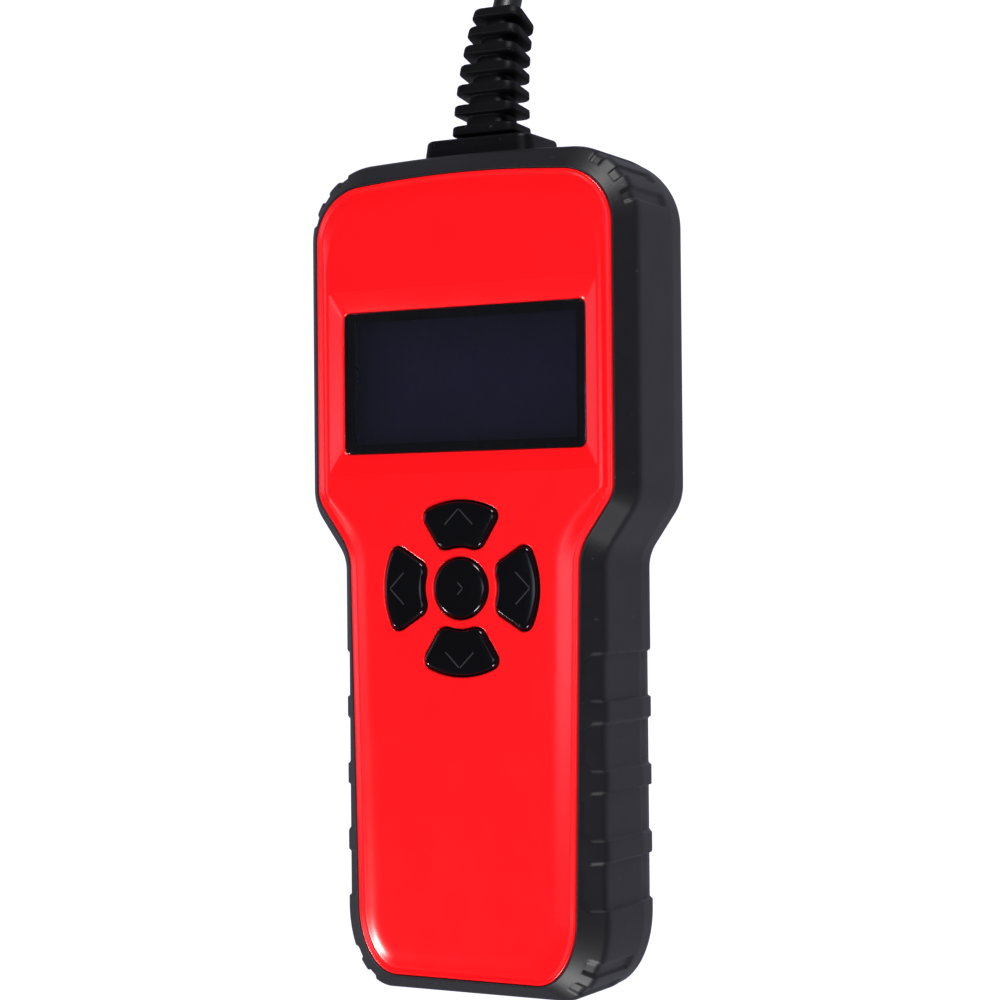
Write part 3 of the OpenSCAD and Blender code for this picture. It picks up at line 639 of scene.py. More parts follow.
@dataclass
class CaseOutline:
    """The boot's and the plate's outlines at the same stations, with the grip pockets and corner recesses."""

    boot: CaseLine = CaseLine(38.8, 30.9, 30.9, 87.75, -87.75, 15.7, 10.5, 17, 11, 8.5, 0.6)
    plate: CaseLine = CaseLine(34.8, 26.9, 25.5, 83.05, -84.15, 11.7, 9, 14, 7, 12.5, 1.1)
    margin: float = 4.0
    pocket_mids: tuple[float, ...] = (-21.5, -35.65, -49.8, -63.95)
    pocket_half: float = 5.0
    pocket_cut: float = 1.7
    top_recesses: tuple[float, ...] = (18.5, 39.0, 60.5)
    foot_recesses: tuple[float, ...] = (38.0, 61.0)
    recess_half: float = 1.45
    outside: float = -99.0
    lines: tuple[list, list] = field(init=False)
    pocket_reach: list[float] = field(init=False)
    recess_reach: list[float] = field(init=False)
    along: list[tuple[Stretch, float, float]] = field(init=False)

    def __post_init__(self) -> None:
        """Works out both closed outlines, from the middle of the foot counterclockwise."""
        back = range(len(STATIONS) - 2, 0, -1)
        sides = []
        for line in (self.boot, self.plate):
            side = [line.at(*s) for s in STATIONS]
            sides.append(side + [(-side[i][0], side[i][1], -side[i][2], side[i][3]) for i in back])
        self.lines = (sides[0], sides[1])
        reach = [self._reaches(*s) for s in STATIONS]
        reach += [reach[i] for i in back]
        self.pocket_reach = [r[0] for r in reach]
        self.recess_reach = [r[1] for r in reach]
        where = [(s[0], s[1], p[1]) for s, p in zip(STATIONS, self.lines[0], strict=False)]
        self.along = where + [where[i] for i in back]

    def _reaches(self, stretch: Stretch, where: float) -> tuple[float, float]:
        """How far inside a grip pocket and a corner recess a station is.

        Args:
            stretch: The stretch that the station is on.
            where: Its place there.

        Returns:
            Both distances, negative outside.
        """
        pocket = recess = self.outside
        if stretch is Stretch.HANDLE:
            pocket = max(self.pocket_half - abs(where - m) for m in self.pocket_mids)
        if stretch is Stretch.CORNER:
            turn = math.radians(min(abs(where - m) for m in self.top_recesses))
            recess = self.recess_half - turn * self.boot.corner
        if stretch is Stretch.FOOT:
            turn = math.radians(min(abs(where - m) for m in self.foot_recesses))
            recess = self.recess_half - turn * 0.5 * (self.boot.foot_rx + self.boot.foot_ry)
        return pocket, recess

    def ring(self, knot: Knot, sunk: Sequence[float] | None = None) -> Ring:
        """The closed ring of one point of a section.

        Args:
            knot: The point of the section.
            sunk: How far each station is sunk further in.

        Returns:
            The ring's points.
        """
        points = []
        for i, (b, p) in enumerate(zip(*self.lines, strict=True)):
            x, y, nx, ny = (mix(b[k], p[k], knot.share) for k in range(4))
            inward = knot.inward + (sunk[i] if sunk else 0.0)
            points.append(Vector((x - nx * inward, y - ny * inward, knot.z)))
        return points

    def walk(self, knots: Sequence[Knot], step: float) -> list[tuple[Knot, float]]:
        """A section in short steps.

        Args:
            knots: The section's corners.
            step: The longest step, in millimetres.

        Returns:
            Each point with its distance along the section.
        """
        made, gone = [(knots[0], 0.0)], 0.0
        for a, b in zip(knots, knots[1:], strict=False):
            flat = (b.share - a.share) * self.margin + b.inward - a.inward
            length = math.hypot(flat, b.z - a.z)
            count = max(1, math.ceil(length / step))
            for i in range(1, count + 1):
                t = i / count
                knot = Knot(mix(a.share, b.share, t), mix(a.inward, b.inward, t), mix(a.z, b.z, t))
                made.append((knot, gone + length * t))
            gone += length
        return made

    def sunk(self, pocket_in: float, recess_in: float, depth: float, ramp: float = 0.38) -> list[float]:
        """How far each station is sunk at one height.

        Args:
            pocket_in: How far the height is inside the pockets' end.
            recess_in: How far it is inside the recesses' ends.
            depth: Depth of both.
            ramp: Width of their sloping edges.

        Returns:
            The depth at each station.
        """
        out = []
        for p, r in zip(self.pocket_reach, self.recess_reach, strict=True):
            pocket = min(p, pocket_in, (p + pocket_in - self.pocket_cut) * math.sqrt(0.5))
            recess = min(r, recess_in)
            out.append(depth * max(smooth(pocket / ramp), smooth(recess / ramp)))
        return out


OUTLINE = CaseOutline()
SCREW_SPOTS = ((27.6, 75.8), (-27.6, 75.8), (21.5, 3.0), (-21.5, 3.0), (18.5, -75.5), (-18.5, -75.5))


# ---- the keys' openings --------------------------------------------------------------------


@dataclass(frozen=True)
class KeySpot:
    """A key's place and outline on the pad.

    Attributes:
        name: The key's name.
        angle: Where it stands round the pad, or None for the round key.
    """

    name: str
    angle: float | None

    PAD_Y = -3.3
    OUTER = 18.35
    INNER = 8.45
    HALF = 32.0
    ROUND = 6.5
    CORNER = 2.3
    LONG_EDGE = 0.25

    def line(self, grow: float, steps: int = 10) -> list[tuple[float, float]]:
        """The key's outline, grown or shrunk.

        Args:
            grow: How far outside the opening it runs; negative inside.
            steps: Pieces in each corner.

        Returns:
            Points, counterclockwise.
        """
        if self.angle is None:
            count = 8 * steps
            r = self.ROUND + grow
            return [
                (r * math.cos(math.tau * i / count), self.PAD_Y + r * math.sin(math.tau * i / count))
                for i in range(count)
            ]
        half = math.radians(self.HALF)
        round_r = max(0.15, self.CORNER + grow)
        corners = ((1, 1, 0), (-1, 1, 90), (-1, -1, 180), (1, -1, 270))
        points = []
        for su, sr, start in corners:
            # corners are rounded in unrolled coordinates, along the arc and out from the middle
            r_edge = (self.OUTER if sr > 0 else self.INNER) + sr * grow
            for i in range(steps + 1):
                a = math.radians(start + 90.0 * i / steps)
                r = r_edge - sr * round_r + round_r * math.sin(a)
                edge = half * r + grow
                u = su * (edge - round_r) + round_r * math.cos(a)
                points.append((r, u / r))
        out = []
        turn = math.radians(self.angle)
        for k, (r, a) in enumerate(points):
            out.append((r, a))
            # the long curved edges need points of their own
            nxt = points[(k + 1) % len(points)]
            if abs(nxt[1] - a) > self.LONG_EDGE:
                out += [(mix(r, nxt[0], t), mix(a, nxt[1], t)) for t in spaced(0, 1, 14)[1:-1]]
        return [
            (r * math.cos(turn - a), self.PAD_Y + r * math.sin(turn - a)) for r, a in reversed(out)
        ]


KEYS = (
    KeySpot("up", 90.0), KeySpot("down", 270.0), KeySpot("left", 180.0), KeySpot("right", 0.0),
    KeySpot("enter", None),
)


def lift(line: Iterable[tuple[float, float]], z: float) -> Ring:
    """A flat outline at a height.

    Args:
        line: The outline's points.
        z: The height.

    Returns:
        The ring.
    """
    return [Vector((x, y, z)) for x, y in line]


# ---- the case ------------------------------------------------------------------------------


@dataclass
class Window:
    """The display's opening in the front cover, in millimetres."""

    width: float = 57.2
    height: float = 30.2
    mid_y: float = 40.2
    corner: float = 1.6
    dish: float = 1.1
    flare: float = 2.85

    def line(self, grow_x: float, grow_y: float, corner: float, z: float) -> Ring:
        """A rounded rectangle about the display at a height."""
        points = rounded_rect(self.width + 2 * grow_x, self.height + 2 * grow_y, corner, straight=10)
        return [Vector((x, y + self.mid_y, z)) for x, y in points]

    def rings(self, low: float) -> list[Ring]:
        """The dish's rings, from the flat field down to the opening's lower edge.

        Args:
            low: The lower edge's height.

        Returns:
            The rings, from the top.
        """
        rings = [self.line(self.flare + 0.14, self.flare + 1.6, 1.1, FLAT_Z)]
        for t in (0.98, 0.92, 0.8, 0.65, 0.5, 0.35, 0.2, 0.08):
            across = self.flare * t
            # the ends of the dish fade out more gently than its sides
            along = (self.flare + 1.5) * t**1.35
            z = FLAT_Z - self.dish * (1 - t) - 0.02
            rings.append(self.line(across, along, mix(self.corner, 1.0, t), z))
        base = FLAT_Z - self.dish
        rings.append(self.line(0.08, 0.08, self.corner, base - 0.05))
        rings.append(self.line(0.0, 0.0, self.corner, base - 0.22))
        rings.append(self.line(0.0, 0.0, self.corner, low))
        return rings


@dataclass
class FrontCover:
    """The glossy red cover: a flat field with a rolled shoulder, a crease and a thin lip."""

    window: Window = field(default_factory=Window)
    under_z: float = 28.0
    wall: float = 1.7
    rim_z: float = 26.0
    crease_in: float = 1.4
    narrowest: float = 0.32
    key_round: float = 0.28

    def section(self) -> list[Knot]:
        """The section's points.

        Returns:
            The points, from under the rim round the lip to the flat field.
        """
        lip = [
            (0.0, 29.22), (0.03, 29.40), (0.12, 29.54), (0.28, 29.62), (0.46, 29.62), (0.70, 29.55),
            (0.95, 29.45), (1.2, 29.38), (1.4, 29.36), (1.65, 29.40), (2.0, 29.49), (2.45, 29.61),
            (3.0, 29.74), (3.6, 29.85), (4.3, 29.935), (5.0, 29.98), (5.7, 29.997), (6.2, FLAT_Z),
        ]
        rim = [(self.wall, self.under_z), (self.wall, self.rim_z), (0.0, self.rim_z)]
        return [Knot(1.0, inward, z) for inward, z in rim + lip]

    def narrowing(self) -> list[float]:
        """How wide the shoulder is at each station, since it gets narrow beside the display.

        Returns:
            A share of its full width at each station.
        """
        out = []
        for stretch, _, y in OUTLINE.along:
            near = smooth((y - 2.0) / 14.0) * smooth((78.0 - y) / 14.0)
            on_side = stretch in (Stretch.HEAD, Stretch.HIP, Stretch.NECK, Stretch.CORNER)
            out.append(mix(1.0, self.narrowest, near) if on_side else 1.0)
        return out

    def build(self) -> None:
        """Builds the cover as one closed skin."""
        shape = Shaper()
        narrow = self.narrowing()
        rings = []
        for knot in self.section():
            if knot.z > self.under_z and knot.inward >= self.crease_in:
                rest = knot.inward - self.crease_in
                start = Knot(1.0, self.crease_in, knot.z)
                rings.append(OUTLINE.ring(start, sunk=[rest * n for n in narrow]))
            else:
                rings.append(OUTLINE.ring(knot))
        shape.loft(rings)
        shape.loft(self.window.rings(self.under_z))
        for key in KEYS:
            r = self.key_round
            drop = [(r, 0.0), (0.6 * r, 0.06 * r), (0.28 * r, 0.3 * r), (0.08 * r, 0.62 * r), (0.0, r)]
            shape.loft([
                *(lift(key.line(grow), FLAT_Z - down) for grow, down in drop),
                lift(key.line(0.0), self.under_z),
            ])
        shape.weld()
        shape.fill_level(FLAT_Z)
        shape.fill_level(self.under_z)
        shape.piece("front_cover_skin", RED_SHELL, slot="red_plastic", replaces=["front_cover"], crease=32.0)


@dataclass
class BumperBoot:
    """The rubber frame round the case, with grip pockets down the handle and recesses at its corners."""

    parting_z: float = 7.2
    lip_z: float = 29.40
    shoulder_z: float = 25.1
    ledge_z: float = 26.05
    wall: float = 2.3
    depth: float = 0.55
    pocket_from: float = 1.1
    recess_from: float = 3.2
    recess_to: float = 3.8
    step: float = 0.34
    side_step: float = 1.1

    def build(self) -> None:
        """Builds the boot as one closed skin."""
        lip = self.lip_z
        chamfer = [
            Knot(1.0, -0.62, lip - 0.16), Knot(0.93, 0.0, lip - 0.72),
            Knot(0.12, 0.0, self.shoulder_z + 0.32),
            Knot(0.055, 0.0, self.shoulder_z - 0.12), Knot(0.018, 0.0, self.shoulder_z - 0.6),
            Knot(0.0, 0.0, self.shoulder_z - 1.2),
        ]
        face = OUTLINE.walk(chamfer, self.step)
        top_len = face[-1][1]
        low = self.parting_z
        hem = ((0.0, 1.0), (0.02, 0.6), (0.14, 0.25), (0.4, 0.06), (0.7, 0.0))
        side = OUTLINE.walk([chamfer[-1], *(Knot(0, inward, low + z) for inward, z in hem)], self.side_step)
        path = face + [(knot, top_len + s) for knot, s in side[1:]]
        end = path[-1][1]
        rings = [
            OUTLINE.ring(Knot(1.0, -out, lip - down))
            for out, down in ((0.06, 0.25), (0.13, 0.07), (0.28, 0.0), (0.46, 0.03))
        ]
        for knot, s in path:
            in_recess = min(s - self.recess_from, end - self.recess_to - s)
            sunk = OUTLINE.sunk(s - self.pocket_from, in_recess, self.depth)
            rings.append(OUTLINE.ring(knot, sunk=sunk))
        rings += [
            OUTLINE.ring(Knot(0.0, self.wall, low)),
            OUTLINE.ring(Knot(0.0, self.wall, self.ledge_z)),
            OUTLINE.ring(Knot(1.0, -0.06, self.ledge_z)),
        ]
        shape = Shaper()
        shape.loft(rings, closed=True)
        shape.weld()
        shape.piece(
            "bumper_boot_skin", BOOT_RUBBER, slot="boot_rubber", replaces=["bumper_boot"], crease=48.0,
        )


@dataclass
class RearShell:
    """The rear shell: the strip behind the boot, a rounded edge and a flat back with its screws."""

    rim_z: float = 7.1
    floor_z: float = 4.3
    depth: float = 0.95
    well_inside: float = 9.0
    label: tuple[float, float, float] = (34.0, 58.0, -18.0)
    label_depth: float = 0.4
    head_hole: float = 2.95
    head_depth: float = 3.5

    def build(self) -> None:
        """Builds the shell as one closed skin."""
        edge = [
            Knot(0, 0.42, self.rim_z), Knot(0, 0.3, self.rim_z - 0.15), Knot(0, 0.3, 4.2),
            Knot(0, 0.36, 3.4), Knot(0, 0.55, 2.6), Knot(0, 0.9, 1.8), Knot(0, 1.4, 1.1),
            Knot(0, 2.0, 0.55), Knot(0, 2.7, 0.2), Knot(0, 3.3, 0.04), Knot(0, 3.8, 0.0),
        ]
        path = OUTLINE.walk(edge, 0.7)
        rings = [OUTLINE.ring(Knot(0, 3.4, self.floor_z)), OUTLINE.ring(Knot(0, 3.4, self.rim_z))]
        # the grip pockets run on down the shell, and the corner recesses stay on the boot
        sunk = OUTLINE.sunk(self.well_inside, -self.well_inside, self.depth)
        for knot, _ in path:
            fade = smooth((knot.z - 0.05) / 2.0)
            rings.append(OUTLINE.ring(knot, sunk=[d * fade for d in sunk]))
        shape = Shaper()
        shape.loft(rings)
        width, length, mid_y = self.label
        tray = []
        for grow, z in ((0.25, 0.0), (0.08, 0.06), (0.0, 0.2), (0.0, self.label_depth)):
            line = rounded_rect(width + 2 * grow, length + 2 * grow, 2.0 + grow)
            tray.append([Vector((x, y + mid_y, z)) for x, y in line])
        shape.loft(tray)
        for x, y in SCREW_SPOTS:
            well = []
            for r, z in ((0.35, 0.0), (0.12, 0.08), (0.0, 0.35), (0.0, self.head_depth)):
                reach = self.head_hole + r
                turns = [math.tau * i / 40 for i in range(40)]
                well.append([Vector((x + reach * math.cos(a), y + reach * math.sin(a), z)) for a in turns])
            shape.loft(well)
        shape.weld()
        shape.fill_level(0.0)
        shape.fill_level(self.label_depth)
        shape.fill_level(self.head_depth)
        shape.fill_level(self.floor_z)
        shape.piece(
            "rear_shell_skin", REAR_PLASTIC, slot="black_plastic", replaces=["rear_shell"], crease=32.0,
        )


@dataclass
class Case:
    """The case's three visible mouldings."""

    cover: FrontCover = field(default_factory=FrontCover)
    boot: BumperBoot = field(default_factory=BumperBoot)
    rear: RearShell = field(default_factory=RearShell)

    def build(self) -> None:
        """Builds the cover, the boot and the rear shell."""
        self.cover.build()
        self.boot.build()
        self.rear.build()


# ---- display -------------------------------------------------------------------------------


@dataclass
class Display:
    """The clear window and the black print behind it, over the dark display below."""

    window: Window = field(default_factory=Window)
    top_z: float = 28.86
    thick: float = 1.38
    view: tuple[float, float] = (52.2, 25.8)

    def slab(self, shape: Shaper, gap: float, low: float, high: float, soft: float) -> None:
        """Adds a closed plate with softened edges, as large as the window less a gap.

        Args:
            shape: The mesh that it is added to.
            gap: The gap all round.
            low: The plate's underside.
            high: Its top.
            soft: Size of the softening.
        """
        rings = [
            self.window.line(-gap - soft, -gap - soft, self.window.corner, low),
            self.window.line(-gap, -gap, self.window.corner, low + soft),
            self.window.line(-gap, -gap, self.window.corner, high - soft),
            self.window.line(-gap - soft * 0.3, -gap - soft * 0.3, self.window.corner, high - soft * 0.3),
            self.window.line(-gap - soft, -gap - soft, self.window.corner, high),
        ]
        shape.loft(rings)
        shape.weld()
        shape.fill_level(low)
        shape.fill_level(high)

    def build(self) -> None:
        """Builds the window and its print."""
        lens = Shaper()
        self.slab(lens, 0.1, self.top_z - self.thick, self.top_z, 0.12)
        lens.piece("display_window", CLEAR_LENS, slot="lens", replaces=["display_lens"])
        back = self.top_z - self.thick
        print_frame = Shaper()
        outer = (-0.15, -0.15)
        inner = ((self.view[0] - self.window.width) / 2, (self.view[1] - self.window.height) / 2)
        rings = []
        for (gx, gy), corner, z in ((outer, 1.5, back - 0.01), (outer, 1.5, back - 0.09),
                                    (inner, 0.5, back - 0.09), (inner, 0.5, back - 0.01)):
            rings.append(self.window.line(gx, gy, corner, z))
        print_frame.loft(rings, closed=True)
        print_frame.weld()
        print_frame.piece("window_print", PRINT_BLACK, slot="lens")


# ---- keys ----------------------------------------------------------------------------------


@dataclass
class Key:
    """One key: a softly crowned cap with a fine mark of two strokes, lighter than the cap as a painted
    highlight.
    """

    spot: KeySpot
    gap: float = 0.35
    top_z: float = 30.8
    skirt_z: float = 26.6
    flange_z: float = 27.6
    flange_out: float = 0.5
    edge: float = 0.75
    crown: float = 0.10
    crown_in: float = 4.6
    mark_depth: float = 0.4
    mark_width: float = 0.26
    mark_proud: float = 0.012

    def cap(self) -> Shaper:
        """Shapes the cap's closed skin.

        Returns:
            The skin.
        """
        line = self.spot.line
        skirt, body = line(self.flange_out), line(-self.gap)
        rings = [lift(skirt, self.skirt_z), lift(skirt, self.flange_z), lift(body, self.flange_z)]
        rim = self.top_z - self.crown - self.edge
        rings.append(lift(body, rim))
        for a in spaced(15, 90, 6):
            rad = math.radians(a)
            inset = self.gap + self.edge * (1 - math.cos(rad))
            rings.append(lift(line(-inset), rim + self.edge * math.sin(rad)))
        reach = self.crown_in if self.spot.angle is not None else self.spot.ROUND - self.gap
        start = self.gap + self.edge
        for t in (0.2, 0.45, 0.7, 0.9):
            inset = mix(start, reach, t)
            rings.append(lift(line(-inset), self.top_z - self.crown * (1 - t) ** 2))
        shape = Shaper()
        shape.loft(rings)
        shape.weld()
        top = max(v.co.z for v in shape.bm.verts)
        shape.fill_level(top)
        shape.fill_level(self.skirt_z)
        return shape

    def mark_painted_highlight(self) -> Shaper:
        """Shapes the two fine strokes of the key's mark, drawn lighter than the cap as a painted highlight.

        Returns:
            The strokes.
        """
        shape = Shaper()
        tip, reach = (16.5, 4.8) if self.spot.angle is not None else (0.9, 1.9)
        turn = math.radians(self.spot.angle or 0.0)
        bm = shape.bm
        for side in (-1, 1):
            swing = Matrix.Rotation(side * math.radians(135), 3, "Z")
            made = bmesh.ops.create_cube(bm, size=1.0)["verts"]
            bmesh.ops.scale(bm, vec=(reach, self.mark_width, self.mark_depth), verts=made)
            bmesh.ops.translate(bm, vec=((reach - self.mark_width) / 2, 0, -self.mark_depth / 2), verts=made)
            bmesh.ops.rotate(bm, matrix=swing, verts=made)
            bmesh.ops.translate(bm, vec=(tip, 0, self.top_z + self.mark_proud), verts=made)
            bmesh.ops.rotate(bm, matrix=Matrix.Rotation(turn, 3, "Z"), verts=made)
            bmesh.ops.translate(bm, vec=(0, self.spot.PAD_Y, 0), verts=made)
        return shape

    def build(self) -> None:
        """Builds the key and its mark and hangs them on their body."""
        name = self.spot.name
        body = f"button_{name}"
        self.cap().piece(f"key_{name}_cap", KEY_PLASTIC, body, "key_plastic", [f"key_{name}"], crease=38.0)
        # the strokes' lighter finish is a painted highlight on the engraved mark
        self.mark_painted_highlight().piece(f"key_{name}_mark", KEY_MARK_PAINTED_HIGHLIGHT, body, "key_plastic")


# ---- gland and strain relief ---------------------------------------------------------------


@dataclass
class Gland:
    """The rubber block on the end of the head that the cable comes out of."""

    cable_z: float = 14.5
    face_y: float = 87.6
    end_y: float = 91.6
    width: float = 25.0
    height: float = 16.0
    corner: float = 2.9
    edge: float = 0.9

    def ring(self, width: float, height: float, corner: float, y: float) -> Ring:
        """A rounded rectangle across the cable at a place along it."""
        return [Vector((x, y, z + self.cable_z)) for x, z in rounded_rect(width, height, corner)]

    def build(self) -> None:
        """Builds the block as one closed skin."""
        w, h, r, soft = self.width, self.height, self.corner, self.edge
        rings = [self.ring(w + 1.0, h + 0.4, r + 0.2, self.face_y)]
        for a in spaced(0, 90, 7):
            rad = math.radians(a)
            inward = soft * (1 - math.cos(rad))
            y = self.end_y - soft + soft * math.sin(rad)
            rings.append(self.ring(w - 2 * inward, h - 2 * inward, r - inward, y))
        shape = Shaper()
        shape.loft(rings)
        shape.weld()
        shape.fill(lambda p: abs(p.y - self.face_y) < 1e-3)
        shape.fill(lambda p: abs(p.y - self.end_y) < 1e-3)
        shape.piece(
            "gland_block_skin", GLAND_RUBBER, slot="boot_rubber", replaces=["gland_block"], crease=42.0,
        )


@dataclass
class StrainRelief:
    """The ribbed relief, which droops from the gland in one even bend.

    CORE and RIM hold half the width, half the height and the corners' radius, at the gland and at the
    cable's end.
    """

    start_y: float = 91.6
    start_z: float = 14.6
    length: float = 29.4
    bend: float = 64.0
    ribs: int = 7
    first: float = 1.95
    pitch: float = 4.22
    sides: int = 12
    CORE: tuple[tuple[float, float], ...] = ((5.2, 3.2), (4.1, 3.15), (2.4, 2.9))
    RIM: tuple[tuple[float, float], ...] = ((7.7, 5.7), (5.0, 4.8), (2.0, 2.3))

    def point(self, s: float) -> Vector:
        """A point of the axis.

        Args:
            s: Its distance from the gland along the axis.

        Returns:
            The point.
        """
        a = s / self.bend
        y, z = self.bend * math.sin(a), self.bend * (1 - math.cos(a))
        return Vector((0, self.start_y + y, self.start_z - z))

    def heading(self, s: float) -> Vector:
        """The way that the axis runs at a distance from the gland."""
        a = s / self.bend
        return Vector((0, math.cos(a), -math.sin(a)))

    def ring(self, s: float, out: float) -> Ring:
        """The section at a distance from the gland.

        Args:
            s: The distance along the axis.
            out: How far out it reaches, from 0 for the core to 1 for a rib's rim.

        Returns:
            The section's ring.
        """
        t = s / self.length
        half_w, half_h, corner = (
            mix(mix(*core, t), mix(*rim, t), out) for core, rim in zip(self.CORE, self.RIM, strict=True)
        )
        heading = self.heading(s)
        across = Vector((1, 0, 0))
        up = across.cross(heading)
        line = rounded_rect(2 * half_w, 2 * half_h, min(corner, half_h - 0.05), self.sides)
        return [self.point(s) + across * x + up * z for x, z in line]

    def build(self) -> None:
        """Builds the relief as one closed skin."""
        half_rib = (
            (1.45, 0.0), (1.3, 0.04), (1.2, 0.15), (1.13, 0.35),
            (0.98, 0.8), (0.9, 0.93), (0.76, 0.985), (0.58, 1.0),
        )
        shape_of_rib = [(-ds, out) for ds, out in half_rib] + [(ds, out) for ds, out in reversed(half_rib)]
        rings = [self.ring(0.0, 0.25), self.ring(0.25, 0.06)]
        for k in range(self.ribs):
            mid = self.first + k * self.pitch
            rings += [self.ring(mid + ds, out) for ds, out in shape_of_rib if mid + ds > 0.3]
        rings += [self.ring(self.length - 0.3, 0.0), self.ring(self.length, -0.12)]
        shape = Shaper()
        shape.loft(rings)
        shape.weld()
        shape.fill(lambda p: p.y < self.start_y + 0.05)
        ends = [e for e in shape.bm.edges if e.is_boundary]
        bmesh.ops.triangle_fill(shape.bm, use_beauty=True, use_dissolve=False, edges=ends)
        shape.piece(
            "strain_relief_skin", RELIEF_RUBBER, slot="relief_rubber", replaces=["strain_relief"], crease=55.0
        )


# ---- cable, coil and plug ------------------------------------------------------------------


@dataclass
class CableRun:
    """The whole free cable: out of the relief, down to the floor, four turns of coil and on to the plug."""

    relief: StrainRelief = field(default_factory=StrainRelief)
    diameter: float = 6.0
    mid: tuple[float, float] = (-12.0, 179.0)
    outer: float = 36.0
    low_z: float = 3.55
    groove_z: float = 8.75
    hump_z: float = 9.7
    plug_y: float = 216.0
    plug_z: float = 10.5
    sides: int = 20
    DROOP: tuple[tuple[float, float, float], ...] = (
        (0, 125, 5.9), (0.3, 130, 4.45), (1.2, 135, 3.85),
        (3, 140, 3.62), (5.6, 144.5, 3.56), (8.6, 148.6, 3.55),
    )
    ENTRY: int = -50
    EXIT: int = 1440

    def turn_at(self, angle: float) -> Vector:
        """The cable's place on the coil.

        Args:
            angle: Degrees turned, from ENTRY to EXIT.

        Returns:
            The point.
        """
        d = self.diameter
        r, z = self.outer, self.low_z
        r -= d * smooth((angle - 250) / 60)
        r -= d * smooth((angle - 610) / 60)
        # up into the groove between the two inner turns, then across to the outer groove
        rise = smooth((angle - 915) / 55)
        r += d / 2 * rise
        z = mix(z, self.groove_z, rise)
        r += d * smooth((angle - 1225) / 60)
        for hump in (1000, 1255, 1360):
            z += (self.hump_z - self.groove_z) * smooth(1 - abs(angle - hump) / 45)
        a = math.radians(angle)
        return Vector((self.mid[0] + r * math.cos(a), self.mid[1] + r * math.sin(a), z))

    def points(self) -> list[Vector]:
        """The route's points.

        Returns:
            The points, from inside the relief to inside the plug's relief.
        """
        route = [self.relief.point(s) for s in (23.0, 26.0, self.relief.length)]
        route += [Vector(p) for p in self.DROOP]
        route += [self.turn_at(a) for a in spaced(self.ENTRY, self.EXIT, 122)]
        exit_x = self.turn_at(self.EXIT).x
        tail = ((186, 9.1), (193, 9.75), (198, 9.9), (204, 10.1), (210, 10.4), (self.plug_y + 3, self.plug_z))
        route += [Vector((exit_x, y, z)) for y, z in tail]
        return route

    def smoothed(self, fine: int = 3) -> list[Vector]:
        """The route with more points, on one smooth curve through them all.

        Args:
            fine: Steps from one point of the route to the next.

        Returns:
            The curve's points.
        """
        p = self.points()
        p = [p[0] * 2 - p[1], *p, p[-1] * 2 - p[-2]]
        out = []
        for i in range(1, len(p) - 2):
            for k in range(fine):
                t = k / fine
                a, b, c, d = p[i - 1 : i + 3]
                bow, twist = 2 * a - 5 * b + 4 * c - d, 3 * b - a - 3 * c + d
                out.append(0.5 * (2 * b + (c - a) * t + bow * t**2 + twist * t**3))
        out.append(p[-2])
        return out

    def build(self, riders: Sequence[bpy.types.Object]) -> None:
        """Builds the cable.

        Args:
            riders: The pieces on it; not used.
        """
        path = self.smoothed()
        rings = []
        side = Vector((1, 0, 0))
        turns = [math.tau * k / self.sides for k in range(self.sides)]
        for i, point in enumerate(path):
            heading = (path[min(i + 1, len(path) - 1)] - path[max(i - 1, 0)]).normalized()
            side = (side - heading * side.dot(heading)).normalized()
            up = heading.cross(side)
            rings.append([point + self.diameter / 2 * (side * math.cos(a) + up * math.sin(a)) for a in turns])
        shape = Shaper()
        shape.loft(rings)
        shape.weld()
        for end in (0, -1):
            centre = path[end]
            shape.fill(lambda p, c=centre: (p - c).length < self.diameter)
        solids = ["cable", "cable_coil", "cable_tail"]
        cable = shape.piece("cable_run", CABLE_JACKET, slot="cable_jacket", replaces=solids, crease=60.0)


@dataclass
class CoilTie:
    """The strap round the coil's turns."""

    run: CableRun = field(default_factory=CableRun)
    start: float = 92.5
    turn: float = 19.0
    thick: float = 0.5

    def section(self, grow: float) -> list[tuple[float, float]]:
        """The strap's path round the turns.

        Args:
            grow: How far outside the cable it runs.

        Returns:
            Points, as distances from the coil's middle and heights.
        """
        r = self.run.diameter / 2 + grow
        low = [(self.run.outer, self.run.low_z), (self.run.outer - 12.0, self.run.low_z)]
        high = [(self.run.outer - 9.0, self.run.groove_z), (self.run.outer - 3.0, self.run.groove_z)]
        corners = ((low[0], -90, 30), (high[1], 30, 90), (high[0], 90, 150), (low[1], 150, 270))
        return [(c[0] + r * math.cos(math.radians(a)), c[1] + r * math.sin(math.radians(a)))
                for c, a0, a1 in corners for a in spaced(a0, a1, 9)]

    def build(self) -> bpy.types.Object:
        """Builds the strap.

        Returns:
            The piece.
        """
        shape = Shaper()
        inner, outer = self.section(0.03), self.section(0.03 + self.thick * 0.95)
        rings = []
        cx, cy = self.run.mid

        def place(point: tuple[float, float], turn: float) -> Vector:
            """A point of the strap's section turned about the coil's middle."""
            a = math.radians(turn)
            return Vector((cx + point[0] * math.cos(a), cy + point[0] * math.sin(a), point[1]))

        stop = self.start + self.turn
        there = [self.start, self.start + 0.8, *spaced(self.start + 3, stop - 3, 6), stop - 0.8, stop]
        back = [stop, *spaced(stop - 3, self.start + 3, 6)]
        for line, turns in ((inner, [self.start]), (outer, there), (inner, back)):
            rings += [[place(p, turn) for p in line] for turn in turns]
        shape.loft(rings, closed=True)
        shape.weld()
        return shape.piece("coil_strap", STRAP_CLOTH, slot="strap", replaces=["coil_tie"], crease=50.0)


